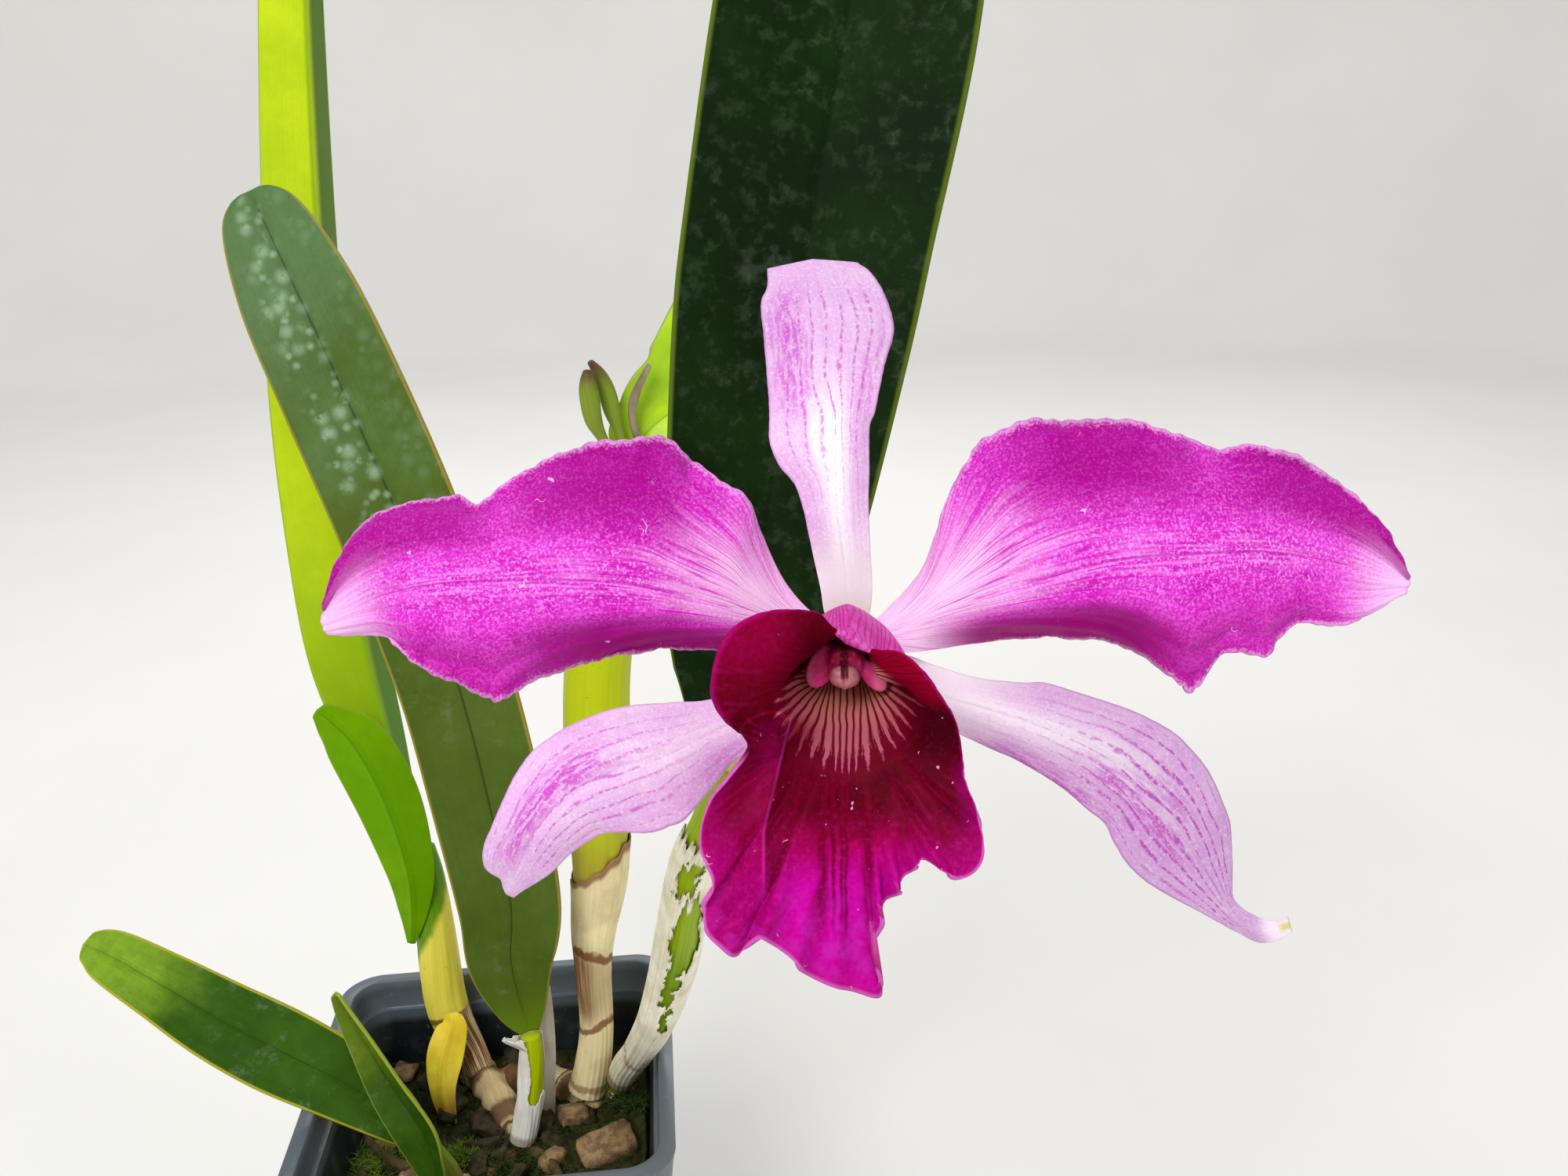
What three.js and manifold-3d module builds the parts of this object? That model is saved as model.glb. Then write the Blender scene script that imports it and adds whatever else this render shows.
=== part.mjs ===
import * as THREE from 'three';
import { mergeVertices } from 'three/addons/utils/BufferGeometryUtils.js';
import Module from 'manifold-3d';

// A flowering cattleya orchid in a square pot. Lengths are millimetres, +Z is up, the flower faces -Y,
// and the origin is the centre of the pot's underside.

// ---- Driving dimensions ----------------------------------------------------------------------------

const GAP = 0.3;                        // clearance between neighbouring pieces

const POT_HEIGHT = 112;
const POT_RIM_HALF = 55;                // half the outer width at the rim
const POT_BASE_HALF = 39;
const POT_CORNER = 13;                  // outer corner radius at the rim
const POT_RIM_WIDTH = 4.8;
const POT_WALL = 1.8;
const POT_FLOOR = 3;
const POT_LEDGE_DROP = 10.5;            // from the rim down to the inner ledge
const DRAIN_RADIUS = 5;
const DRAIN_OFFSET = 22;
const CORNER_STEPS = 4;

const MIX_TOP = 83;                     // mean level of the bark mix
const CHIP_COUNT = 14;
const CHIP_SEED = 11;

const SHEATH_WALL = 0.7;
const FACET_TOLERANCE = 0.03;           // facets that stand out less than this are merged after a cut

// Stems: [x, y, z, radius] from the foot to the top.
const BULB_RIGHT = [
  [36, 20.6, 84, 3.8], [39.3, 9.8, 98.9, 3.9], [44.8, -0.2, 113, 4], [51, -7.5, 128.5, 5],
  [56.2, -14.1, 147.9, 5.9], [59.6, -24.7, 168.1, 5.9], [63.9, -44.6, 198.7, 5.4], [68.8, -68.3, 224.5, 4.6],
  [73.2, -90.5, 248.1, 3.8],
];
const BULB_MIDDLE = [
  [25.2, 17.8, 84, 5.3], [28.6, 17.8, 96.1, 4.9], [31, 17.3, 111.4, 4.4], [31.3, 17.2, 130.5, 4.7],
  [32.4, 18, 146.1, 6.2], [35.6, 17.9, 166.1, 8], [37.7, 17.5, 200.9, 9.8], [39.9, 16.7, 231.5, 9.6],
  [45, 16.2, 260.4, 9.2], [50.4, 13.9, 284, 8], [54.5, 13.1, 298.6, 5.5],
];
const BULB_LEFT = [
  [-9.2, 29.6, 86.4, 4.6], [-13.1, 35.2, 93.7, 5], [-18.6, 39.6, 102.5, 6.6], [-20.4, 41.2, 110, 6.8],
  [-21.1, 42.3, 118.9, 6.7], [-21.5, 44.6, 135.5, 6.2], [-22.6, 46.9, 151.9, 5.7], [-24.4, 49.2, 163.5, 4.8],
];
const STEM_FRONT = [
  [6.2, -1.6, 83.5, 3.2], [8.6, -0.4, 92, 3.3], [10.4, 1, 101, 3.4], [11.6, 3.2, 112, 3.3], [11.6, 4.2, 119, 2.9],
];
const STEM_SMALL = [
  [-13.5, -16.5, 83.6, 4], [-15.5, -16.2, 88, 4.2], [-18, -15.5, 93, 3.8], [-20.5, -14.5, 97.5, 3],
];

// Rootstock and roots: tubes of [x, y, z, radius].
const ROOTSTOCKS = [
  [[-20, 38, 80, 4], [-13, 36, 83, 5], [-6.5, 26, 85.5, 5.4], [0, 12, 84, 5], [5.5, -1, 80, 4.4],
    [-2, -10, 79.5, 4], [-13.5, -17, 79.5, 4.2]],
  [[40, 22, 79.5, 4], [34, 20.5, 81, 4.8], [26, 18, 81, 5], [16, 25, 84, 5.2], [4, 28, 84.5, 5],
    [-6, 27, 84, 4.6]],
];
const ROOTS = [
  [[-14, -17, 79, 2], [-23, -13, 84.5, 1.9], [-33, -7, 86, 1.7], [-41, 2, 85.5, 1.5], [-43, 12, 83, 1.2]],
  [[-13, -18, 79, 2], [-24, -20, 84.5, 1.8], [-35, -17, 85.5, 1.6], [-42, -10, 84.5, 1.3]],
  [[-13, -18, 79, 2], [-14, -26, 84, 1.8], [-9, -34, 85.5, 1.6], [2, -39, 85, 1.4], [14, -40, 83.5, 1.2]],
  [[5.5, -1, 79, 2], [12, -8, 84, 1.8], [18, -18, 85.5, 1.6], [20, -29, 84.5, 1.3]],
];

// Leaves: the midrib as [x, y, z, half width], the way the upper face looks, and how far each half is
// folded up from flat, in degrees (a negative fold closes the leaf away from its face).
const LEAVES = {
  leaf_right: {
    rib: [[72.4, -88.4, 249, 3.4], [73.2, -86.6, 258, 8.4], [76.2, -86, 268, 14.4], [79.4, -85, 280, 18.4],
      [84.6, -81.1, 306.1, 21.8], [90.9, -75.3, 338.2, 25], [95.6, -70.7, 360.1, 26.2], [106.6, -59.8, 406.2, 27.6],
      [116.1, -45.5, 452.3, 24.6], [122.5, -32, 487, 16], [125.5, -25, 503, 5]],
    face: [-0.08, -0.95, 0.3], fold: 9, thickness: 1.9, colour: 0x1f3d22,
  },
  leaf_middle: {
    rib: [[54.6, 13.4, 297.4, 4.1], [55.9, 13.9, 300.3, 9], [59.6, 14.6, 303.7, 11.4],
      [64.4, 15.5, 307.3, 14.4], [73.4, 17.5, 312.6, 18.4], [87, 22.5, 325.9, 22.4], [104.6, 30, 348.7, 23.1],
      [118.3, 37.5, 371.1, 22.1], [127.5, 45, 393, 18.9], [132.1, 51, 411.8, 12.9], [134.4, 54.5, 424.4, 4.2]],
    face: [-0.08, -0.95, 0.3], fold: 10, thickness: 1.8, colour: 0x86b81e,
  },
  leaf_left_tall: {
    rib: [[-23.9, 49.6, 162.1, 4.4], [-28.2, 52.8, 180, 9], [-31.7, 56, 197.3, 13], [-36.4, 60.9, 224.9, 17],
      [-39.4, 67.5, 260.6, 17.6], [-41.6, 80, 308.5, 18], [-42.2, 95.5, 360.2, 16.2],
      [-41.4, 116.7, 425.9, 13.9], [-40, 134.2, 473.3, 11], [-38.8, 145, 500.1, 4]],
    face: [0.73, -0.61, 0.3], fold: -34, thickness: 1.8, colour: 0x9fc71c,
  },
  leaf_left_short: {
    rib: [[-28.6, 39.6, 132.8, 1.2], [-26.8, 39, 144.8, 5], [-26.6, 39.2, 160.2, 8.2], [-31, 39.8, 184.5, 10.7],
      [-37.9, 40.4, 203.4, 10], [-44, 40.4, 212.2, 5.8], [-47.8, 39.6, 216.8, 2.2]],
    face: [-0.08, -0.95, 0.3], fold: -16, thickness: 1.6, colour: 0x5f9a22,
  },
  leaf_front_long: {
    rib: [[11.4, 4.6, 120, 3.2], [9.6, 4.9, 128.3, 8], [7.8, 5.9, 144.4, 13.2], [9.4, 6, 164.5, 15.6],
      [5.6, 8.4, 200, 16.6], [0.9, 11.3, 230.3, 16.8], [-6.2, 16, 259, 17.4], [-13.1, 21.4, 283.4, 18],
      [-26.6, 32.9, 318.4, 17.8], [-37.2, 42.9, 342.8, 16.6], [-46.2, 52.3, 362.9, 11.8], [-49.5, 56.2, 370.4, 4.4]],
    face: [-0.08, -0.95, 0.3], fold: 11, thickness: 1.7, colour: 0x4d7a3a,
  },
  leaf_low: {
    rib: [[-21.5, -13.8, 98.2, 4.2], [-27.6, -12.4, 105, 7.4], [-35.8, -11, 112.5, 9.8], [-44.7, -10, 119.5, 11.2],
      [-60.1, -8.7, 130, 12.2], [-75.1, -7.4, 140.7, 11.4], [-90.1, -5.2, 152.2, 9.6], [-104, -3.5, 162.8, 7.4],
      [-110.5, -2.9, 166.5, 3.6]],
    face: [0.3, -0.8, 0.55], fold: 12, thickness: 1.5, colour: 0x4f8a24,
  },
  leaf_small: {
    rib: [[-15.5, -21.5, 88.5, 3.4], [-17.3, -20, 95, 6.4], [-19.7, -18.2, 103.8, 8.2], [-26.6, -15.6, 116.9, 7.2],
      [-33.1, -13.4, 131.7, 5], [-37.8, -11.6, 141.8, 3.4], [-40.6, -10.8, 148.8, 1.7]],
    face: [-0.35, -0.85, 0.35], fold: 34, thickness: 1.3, colour: 0x3c6f22,
  },
  bract_yellow: {
    rib: [[-17.9, 11.4, 82, 2.2], [-20, 16.6, 91.5, 4.4], [-19.4, 22.4, 99.7, 6.2], [-17, 28.6, 106.9, 5],
      [-17.6, 31.4, 110, 2]],
    face: [-0.08, -0.95, 0.3], fold: -18, thickness: 0.9, colour: 0xe3c735,
  },
  scale_front: {
    rib: [[13.2, 8.3, 81.5, 2.8], [14.6, 9.4, 96, 3.2], [16.2, 10.4, 106, 3], [18.4, 12, 120, 1.2]],
    face: [-0.08, -0.95, 0.3], fold: -22, thickness: 0.8, colour: 0xd9d2bb,
  },
  bract_middle: {
    rib: [[58, 10.4, 297.6, 1.2], [55.2, 10.6, 307, 1.3], [56, 11.2, 313.7, 1.3], [60.9, 12.6, 322.4, 0.8]],
    face: [-0.5, -0.8, 0.3], fold: -20, thickness: 0.7, colour: 0x6d6248,
  },
};

const LONG_LEAF_STEPS = 18;
const SHORT_LEAF_STEPS = 8;
const LEAF_THINNING = 0.45;             // how much thinner the margin is than the midrib

// Buds: [x, y, z, radius] from stalk to tip.
const BUDS = {
  bud_left: [[50.2, 8.6, 296.5, 1.3], [46.8, 6.4, 304.1, 1.5], [44.9, 5.6, 309.3, 2.4], [44.4, 5.2, 315.7, 2.7],
    [44.2, 5.6, 319.9, 2.1], [44, 6, 322.8, 0.8]],
  bud_right: [[53, 10, 297, 1.3], [51.3, 9.7, 305, 1.5], [50, 9.7, 310.4, 2.3], [48.9, 9.7, 316.1, 2.4],
    [47.3, 9.7, 320.6, 1.8], [44.7, 9.2, 324.6, 0.7]],
};

// The flower's own frame: +X to its left as it looks out (the viewer's right), +Y up, +Z out of its face.
const FLOWER_CENTRE = [90.9, -154.6, 299.2];
const FLOWER_TILT = 18;                 // the face looks up by this many degrees
const FLOWER_TURN = -5;
const FLOWER_ROLL = -1.9;
const FLOWER_STALK_START = [73.4, -91.4, 249.2, 2.1];
const FLOWER_STALK = [[78.4, -98.5, 262, 1.9], [84.6, -110, 276.5, 1.8], [89.6, -124, 287.4, 2.1]];
const KNOB = [0.8, 0.6, -8.6];          // front end of the ovary, in the flower's frame
const KNOB_RADIUS = 2.9;
const KNOB_LENGTH = 7;

// Petals and sepals: upper (or left) edge, midrib and lower (or right) edge in the flower's frame.
const PETALS = {
  petal_left: {
    upper: [[-2, 3.5, -9.4], [-6.5, 7, -8.4], [-11, 12.5, -6.5], [-14.5, 20, -5], [-16.5, 25, -4], [-22, 29, -2.5],
      [-26, 31.5, -2], [-28, 34, -1], [-31, 35, -0.5], [-38, 34, 0.5], [-43.5, 33.5, 0.5], [-50.5, 30.5, 1],
      [-55, 27.5, 0.5], [-59, 24.5, 0], [-61.5, 24, -0.5], [-64.5, 25.5, -1], [-75.5, 23.5, -2.5],
      [-81.5, 19.5, -3.5], [-85, 14.5, -4.5], [-87.5, 7.5, -6]],
    middle: [[-2, 2, -9.6], [-9.5, 4, -7.4], [-21, 7.5, 0], [-33.5, 10.5, 4], [-44, 11.5, 6], [-54, 11.5, 6],
      [-65, 11, 4], [-74, 9.5, 1], [-83, 6.5, -3], [-88, 4.5, -6]],
    lower: [[-2, 0.5, -9.4], [-9, 0, -7.5], [-21.5, 0, -4], [-31.5, 0, -2], [-42.5, -2, -1], [-50.5, -4.5, -1],
      [-55.5, -7.5, -0.5], [-57, -8.5, 0], [-59, -7.5, 0.5], [-64.5, -5, 0.5], [-70, -2.5, -0.5], [-74.5, 1, -1.5],
      [-77.5, 2.5, -3], [-83.5, 2.5, -4.5], [-87, 2.5, -6]],
    frill: 1.3, waves: 5, colour: 0xb81fae,
  },
  petal_right: {
    upper: [[3.5, 3, -9.4], [7, 6.5, -8.4], [11.5, 11, -6.5], [14, 15, -5.5], [16.5, 23.5, -4], [19, 29, -3],
      [22, 34, -2], [25, 36, -1.5], [31, 38, -0.5], [38, 37.5, 0], [42.5, 38, 0.5], [48, 37, 1], [54.5, 35, 0.5],
      [60.5, 33, 0.5], [65.5, 33.5, 0], [70.5, 33, -0.5], [79, 29.5, -1.5], [85.5, 25, -2.5], [89.5, 21, -3.5],
      [93, 16, -5], [94.5, 12.5, -6]],
    middle: [[4, 1.5, -9.6], [9.5, 3.5, -7.4], [17, 7, -1], [25.5, 10, 4], [34, 12.5, 6], [45, 15, 6], [60.5, 16, 4],
      [70, 16, 1], [83.5, 14, -3], [95, 11, -6]],
    lower: [[4, 0, -9.4], [10.5, -0.5, -7.5], [21, 1, -4.5], [29.5, 2, -3], [38.5, 2, -2], [44, 1.5, -1],
      [49, -0.5, -1], [53.5, -4, -1], [56.5, -7, -0.5], [59.5, -4, 0], [61.5, -1, 0.5], [63.5, 0, 1], [68, -1, 0.5],
      [70.5, 1.5, -0.5], [75, 4.5, -1.5], [80.5, 4, -2.5], [86, 5, -4], [90.5, 7.5, -5], [94, 9.5, -6]],
    frill: 1.3, waves: 5.5, colour: 0xb81fae,
  },
  sepal_top: {
    upper: [[-1, 2.5, -12], [-3.2, 6, -11], [-4, 10.5, -7.5], [-5.5, 17, -3.5], [-7, 23.5, -1], [-8.5, 27.5, 0],
      [-11, 30.5, 0.5], [-12.5, 34.5, 1], [-12.5, 39, 1], [-13, 46, 0.5], [-13.5, 52, -0.5], [-14, 57, -1.5],
      [-13, 60, -3], [-13, 63.5, -5]],
    middle: [[1, 2.5, -12], [0.7, 6, -11], [0.3, 10.5, -7], [-0.5, 17, -2.5], [-1.5, 23.5, 0.5], [-2, 32, 2.5],
      [-3, 44.5, 3], [-3.5, 53.5, 1.5], [-5.5, 65, -4.5]],
    lower: [[3, 2.5, -12], [4.4, 6, -11], [4.6, 10.5, -7.5], [4, 17, -3.5], [3.5, 23.5, -2], [3.5, 30, -0.5],
      [3.5, 36.5, 0.5], [4.5, 39.5, 1], [6, 46.5, 1], [7.5, 51.5, 0.5], [7.5, 54, 0], [6.5, 58, -1.5],
      [4.5, 62, -3], [2, 64.5, -5]],
    frill: 0.3, waves: 3, colour: 0xe9c9ec,
  },
  sepal_lower_left: {
    upper: [[-1.2, 0.4, -12], [-10.5, -6.5, -11], [-22.5, -9, -9.5], [-29.5, -9.5, -8.5], [-36.5, -10, -7.5],
      [-41, -11, -6.5], [-46, -13, -5.5], [-49.5, -15, -5], [-52.5, -17.5, -5], [-55, -21, -5], [-57, -25, -5],
      [-59, -29.5, -5], [-60.5, -32.5, -6], [-61, -35.5, -6.5], [-60.5, -37.5, -8], [-58.5, -39, -9],
      [-58, -41, -10]],
    middle: [[-0.4, -1, -12], [-10.5, -9.5, -10.5], [-19.5, -13, -7], [-29, -17, -3], [-39, -20, -2],
      [-45.5, -24, -2], [-51, -29.5, -3], [-54.5, -35.5, -6], [-57.5, -42, -9.6]],
    lower: [[0.4, -2.4, -12], [-9, -13, -11], [-15.5, -17, -9.5], [-19.5, -19.5, -8], [-21.5, -22, -7],
      [-24, -25, -6], [-27, -28.5, -5.5], [-29.5, -29.5, -5], [-32.5, -30.5, -5], [-39.5, -30.5, -5],
      [-43, -32, -5.5], [-46.5, -34.5, -6.5], [-50, -38, -7.5], [-54.5, -41, -9], [-56.5, -42.5, -10]],
    frill: 0.3, waves: 3, colour: 0xdfb6e4,
  },
  sepal_lower_right: {
    upper: [[3.4, 0.6, -12], [11, -1.4, -11], [14.5, -2.8, -10], [19.5, -4.5, -9], [24, -5.5, -8], [30, -6, -7],
      [34, -6, -6], [40.5, -8, -5.5], [48, -10.5, -5], [54, -13.5, -5], [57.5, -16.5, -5], [61, -21, -5],
      [63, -25.5, -5], [64.5, -29.5, -5.5], [65, -37, -6], [65.2, -42, -6], [69, -45, -5.5], [71.5, -45.5, -4],
      [73, -44, -2]],
    middle: [[2.8, -0.8, -12], [8.5, -4, -11], [15, -7.5, -7.5], [25, -10.5, -4], [35.5, -14, -2.5], [44, -18, -2],
      [51.5, -24.5, -2.5], [57, -31.5, -3.5], [61.5, -39, -5], [65.5, -45, -5.5], [69.5, -47, -4.5],
      [73.4, -45.4, -2]],
    lower: [[2, -2.2, -12], [10, -10, -11], [20, -14.5, -9], [25.5, -17, -8.5], [30, -19, -7.5], [36.5, -23, -6.5],
      [40.5, -26.5, -5.5], [43.5, -29, -5], [45, -32, -5], [47.5, -36, -5], [51.5, -39.5, -5], [58.5, -43.5, -5],
      [63, -46, -6], [67, -48, -6], [69.5, -49, -5.5], [72, -48.4, -4], [73.8, -46.8, -2]],
    frill: 0.3, waves: 3, colour: 0xdfb6e4,
  },
};
const PETAL_EDGE = 0.8;                 // thickness at the margin
const PETAL_MIDDLE = 1.1;
const PETAL_STEPS = [26, 6];            // facets along and across
const SEPAL_STEPS = [18, 4];

// Lip: rings of the tube round the column as [z, centre x, centre y, half width, half height], then the
// free margin as [angle at the throat, x, y, z], going round from the top over the flower's right lobe.
const LIP_TUBE = [
  [-8, 0.7, 0.6, 3.9, 3.9], [-5.5, 0.6, 0.4, 4.5, 4.4], [-2, 0.2, -0.4, 6.3, 5.9], [2.5, 0, -1.8, 8.6, 8.1],
  [8, -0.1, -4.8, 10.4, 9.6], [12, -0.2, -8.4, 11.2, 9.9],
];
const LIP_MARGIN = [
  [90, -0.5, 1.8, 13], [98, -3, 4, 13.5], [106, -5.5, 6.5, 15], [117, -9.5, 7, 16.5], [128, -13.5, 6.5, 18],
  [139, -17.5, 4.5, 19], [150, -20, 1, 19], [162, -21, -3, 19], [173, -21, -6.5, 19], [183, -19, -10, 18],
  [192, -16.5, -12, 17], [198, -15.3, -13.7, 15.5], [202, -12.1, -12.1, 14], [204, -9.8, -9.4, 19.5],
  [206, -12, -8.1, 21.5], [208, -14.9, -9, 21.5], [210, -16.6, -10.9, 20.5], [212, -15.6, -13.9, 18.5],
  [215, -18.8, -18.4, 17.5], [218, -21.7, -22.3, 17.5],
  [224, -23, -28.5, 18], [232, -21, -34, 19.5], [237, -22.5, -38, 18.5], [242, -21.5, -42.5, 18],
  [247, -17.5, -45.5, 17], [251, -14, -42.5, 18.5], [255, -10, -45.5, 16.5], [260, -5.5, -50, 14.5],
  [265, 0.5, -52.5, 11.5], [270, 5, -53.5, 10], [275, 4, -48, 12.5], [280, 4.5, -40.5, 15], [287, 7.5, -35, 16.5],
  [294, 11, -31, 17.5], [300, 16, -33.5, 19], [307, 19.5, -31, 19], [315, 19.5, -25.5, 18], [325, 17.5, -19.5, 16],
  [338, 17, -15, 15.5], [354, 16, -10, 15.5], [373, 13.5, -6, 16], [393, 11, -2.5, 16.5], [412, 7.5, 0.5, 15.5],
  [432, 3, 0.6, 14],
];
const LIP_MARGIN_LOOP = [...LIP_MARGIN, [LIP_MARGIN[0][0] + 360, ...LIP_MARGIN[0].slice(1)]];
const THROAT_SHARE = 0.4;               // share of the lip's rings that lie in the tube
const LIP_ROLL = 3.2;                   // how far the flare runs forward before it turns out
const LIP_PEAK = 2.2;                   // height of the tube's roof ridge over the column
const LIP_THICKNESS = 0.85;
const LIP_STEPS = [10, 44];             // facets along and around

// Column, in the flower's frame.
const COLUMN = [
  [0.8, 0.6, -8.2, 2.8], [0.5, 0.5, -4, 2.9], [0, 0, 0, 3.1], [-0.4, -1.4, 4, 3.1], [-0.5, -2.2, 6.4, 2.6],
];
const COLUMN_WINGS = [                   // centre and radii of each
  { centre: [-4.4, -2.8, 4], radii: [2.3, 3.6, 1.3] },
  { centre: [3.9, -3.9, 4], radii: [2.6, 2.5, 1.3] },
];
const CAP_CENTRE = [-0.6, -3.9, 7.2];
const CAP_RADII = [2.3, 2, 1.8];

// ---- Solids ----------------------------------------------------------------------------------------

const wasm = await Module();
wasm.setup();

// A manifold solid from a closed shell of vertices and triangles, turned outwards if need be.
function solid(positions, index) {
  const vertProperties = new Float32Array(positions);
  let triVerts = new Uint32Array(index);
  if (shellVolume(vertProperties, triVerts) < 0) {
    triVerts = triVerts.map((_, k) => index[k - (k % 3) + [0, 2, 1][k % 3]]);
  }
  return new wasm.Manifold(new wasm.Mesh({ numProp: 3, vertProperties, triVerts }));
}

function shellVolume(positions, index) {
  const [a, b, c] = [new THREE.Vector3(), new THREE.Vector3(), new THREE.Vector3()];
  let volume = 0;
  for (let k = 0; k < index.length; k += 3) {
    a.fromArray(positions, index[k] * 3);
    b.fromArray(positions, index[k + 1] * 3);
    c.fromArray(positions, index[k + 2] * 3);
    volume += a.dot(b.cross(c)) / 6;
  }
  return volume;
}

function solidOfGeometry(geometry) {
  const bare = geometry.clone();
  bare.deleteAttribute('normal');
  bare.deleteAttribute('uv');
  const merged = mergeVertices(bare, 1e-4);
  return solid(merged.attributes.position.array, Array.from(merged.index.array));
}

// The largest single body of a solid: crumbs that a cut leaves are dropped.
function mainBody(whole) {
  return whole.decompose().reduce((best, part) => (part.volume() > best.volume() ? part : best));
}

function geometryOf(whole) {
  const mesh = mainBody(whole).simplify(FACET_TOLERANCE).getMesh();
  const geometry = new THREE.BufferGeometry();
  geometry.setAttribute('position', new THREE.BufferAttribute(mesh.vertProperties.slice(), 3));
  geometry.setIndex(new THREE.BufferAttribute(mesh.triVerts.slice(), 1));
  return geometry;
}

// ---- Shapes ----------------------------------------------------------------------------------------

// A smooth value through rows of numbers, with t from 0 at the first row to 1 at the last.
function smoothRow(rows, t) {
  const spans = rows.length - 1;
  const at = THREE.MathUtils.clamp(t, 0, 1) * spans;
  const first = Math.min(Math.floor(at), spans - 1);
  const f = at - first;
  const [p0, p1, p2, p3] = [-1, 0, 1, 2].map((k) => rows[THREE.MathUtils.clamp(first + k, 0, spans)]);
  return p1.map((_, k) => 0.5 * (2 * p1[k] + (p2[k] - p0[k]) * f
    + (2 * p0[k] - 5 * p1[k] + 4 * p2[k] - p3[k]) * f * f
    + (3 * p1[k] - p0[k] - 3 * p2[k] + p3[k]) * f * f * f));
}

// A curve through the first three numbers of each row.
function curveThrough(rows) {
  return new THREE.CatmullRomCurve3(rows.map(([x, y, z]) => new THREE.Vector3(x, y, z)), false, 'catmullrom', 0.5);
}

// Rings of points skinned into a closed body, with a fan over each end.
function loft(rings) {
  const positions = rings.flat().flatMap((point) => point.toArray());
  const count = rings[0].length;
  const index = [];
  for (let i = 0; i + 1 < rings.length; i++) {
    for (let j = 0; j < count; j++) {
      const [a, b] = [i * count + j, i * count + (j + 1) % count];
      index.push(a, b, b + count, a, b + count, a + count);
    }
  }
  for (const [ring, start] of [[rings[0], 0], [rings.at(-1), (rings.length - 1) * count]]) {
    const centre = ring.reduce((sum, point) => sum.add(point), new THREE.Vector3()).divideScalar(count);
    positions.push(...centre.toArray());
    const apex = positions.length / 3 - 1;
    for (let j = 0; j < count; j++) {
      const pair = [start + j, start + (j + 1) % count];
      index.push(apex, ...(start ? pair : pair.reverse()));
    }
  }
  return solid(positions, index);
}

// A round stem through [x, y, z, radius] stations; grow widens and lengthens it.
function stem(stations, sides, rings, grow = 0) {
  const curve = curveThrough(stations);
  const { normals, binormals, tangents } = framesAlong(curve, rings);
  const circles = [];
  for (let i = 0; i <= rings; i++) {
    const centre = curve.getPoint(i / rings);
    if (i === 0) centre.addScaledVector(tangents[i], -grow);
    if (i === rings) centre.addScaledVector(tangents[i], grow);
    const radius = smoothRow(stations, i / rings)[3] + grow;
    circles.push(Array.from({ length: sides }, (_, j) => {
      const angle = (j / sides) * 2 * Math.PI;
      return centre.clone()
        .addScaledVector(normals[i], radius * Math.cos(angle))
        .addScaledVector(binormals[i], radius * Math.sin(angle));
    }));
  }
  return loft(circles);
}

// Frames at equal curve parameters, turned as little as possible from one to the next.
function framesAlong(curve, steps) {
  const tangents = Array.from({ length: steps + 1 }, (_, i) => curve.getTangent(i / steps));
  const normals = [new THREE.Vector3(1, 0, 0).projectOnPlane(tangents[0]).normalize()];
  for (let i = 1; i <= steps; i++) {
    normals.push(normals[i - 1].clone().projectOnPlane(tangents[i]).normalize());
  }
  const binormals = tangents.map((tangent, i) => tangent.clone().cross(normals[i]));
  return { tangents, normals, binormals };
}

function normalAt(surface, s, u) {
  const step = 0.01;
  const alongS = surface(Math.min(s + step, 1), u).sub(surface(Math.max(s - step, 0), u));
  const alongU = surface(s, Math.min(u + step, 1)).sub(surface(s, Math.max(u - step, -1)));
  return alongS.cross(alongU).normalize();
}

// A blade: the middle surface(s, u), with s from 0 to 1 and u from -1 to 1, thickened to both sides.
function blade(surface, thickness, along, across) {
  const positions = [];
  const index = [];
  const row = across + 1;
  const sheet = (along + 1) * row;
  for (const face of [0.5, -0.5]) {
    for (let i = 0; i <= along; i++) {
      for (let j = 0; j <= across; j++) {
        const [s, u] = [i / along, (2 * j) / across - 1];
        const point = surface(s, u).addScaledVector(normalAt(surface, s, u), face * thickness(s, u));
        positions.push(...point.toArray());
      }
    }
  }
  for (let i = 0; i < along; i++) {
    for (let j = 0; j < across; j++) {
      const a = i * row + j;
      const [b, c, d] = [a + 1, a + row + 1, a + row];
      index.push(a, d, c, a, c, b);
      index.push(a + sheet, c + sheet, d + sheet, a + sheet, b + sheet, c + sheet);
    }
  }
  const wall = (a, b) => index.push(b, a, a + sheet, b, a + sheet, b + sheet);
  for (let i = 0; i < along; i++) {
    wall(i * row, (i + 1) * row);
    wall((i + 1) * row + across, i * row + across);
  }
  for (let j = 0; j < across; j++) {
    wall(j + 1, j);
    wall(along * row + j, along * row + j + 1);
  }
  return solid(positions, index);
}

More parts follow.
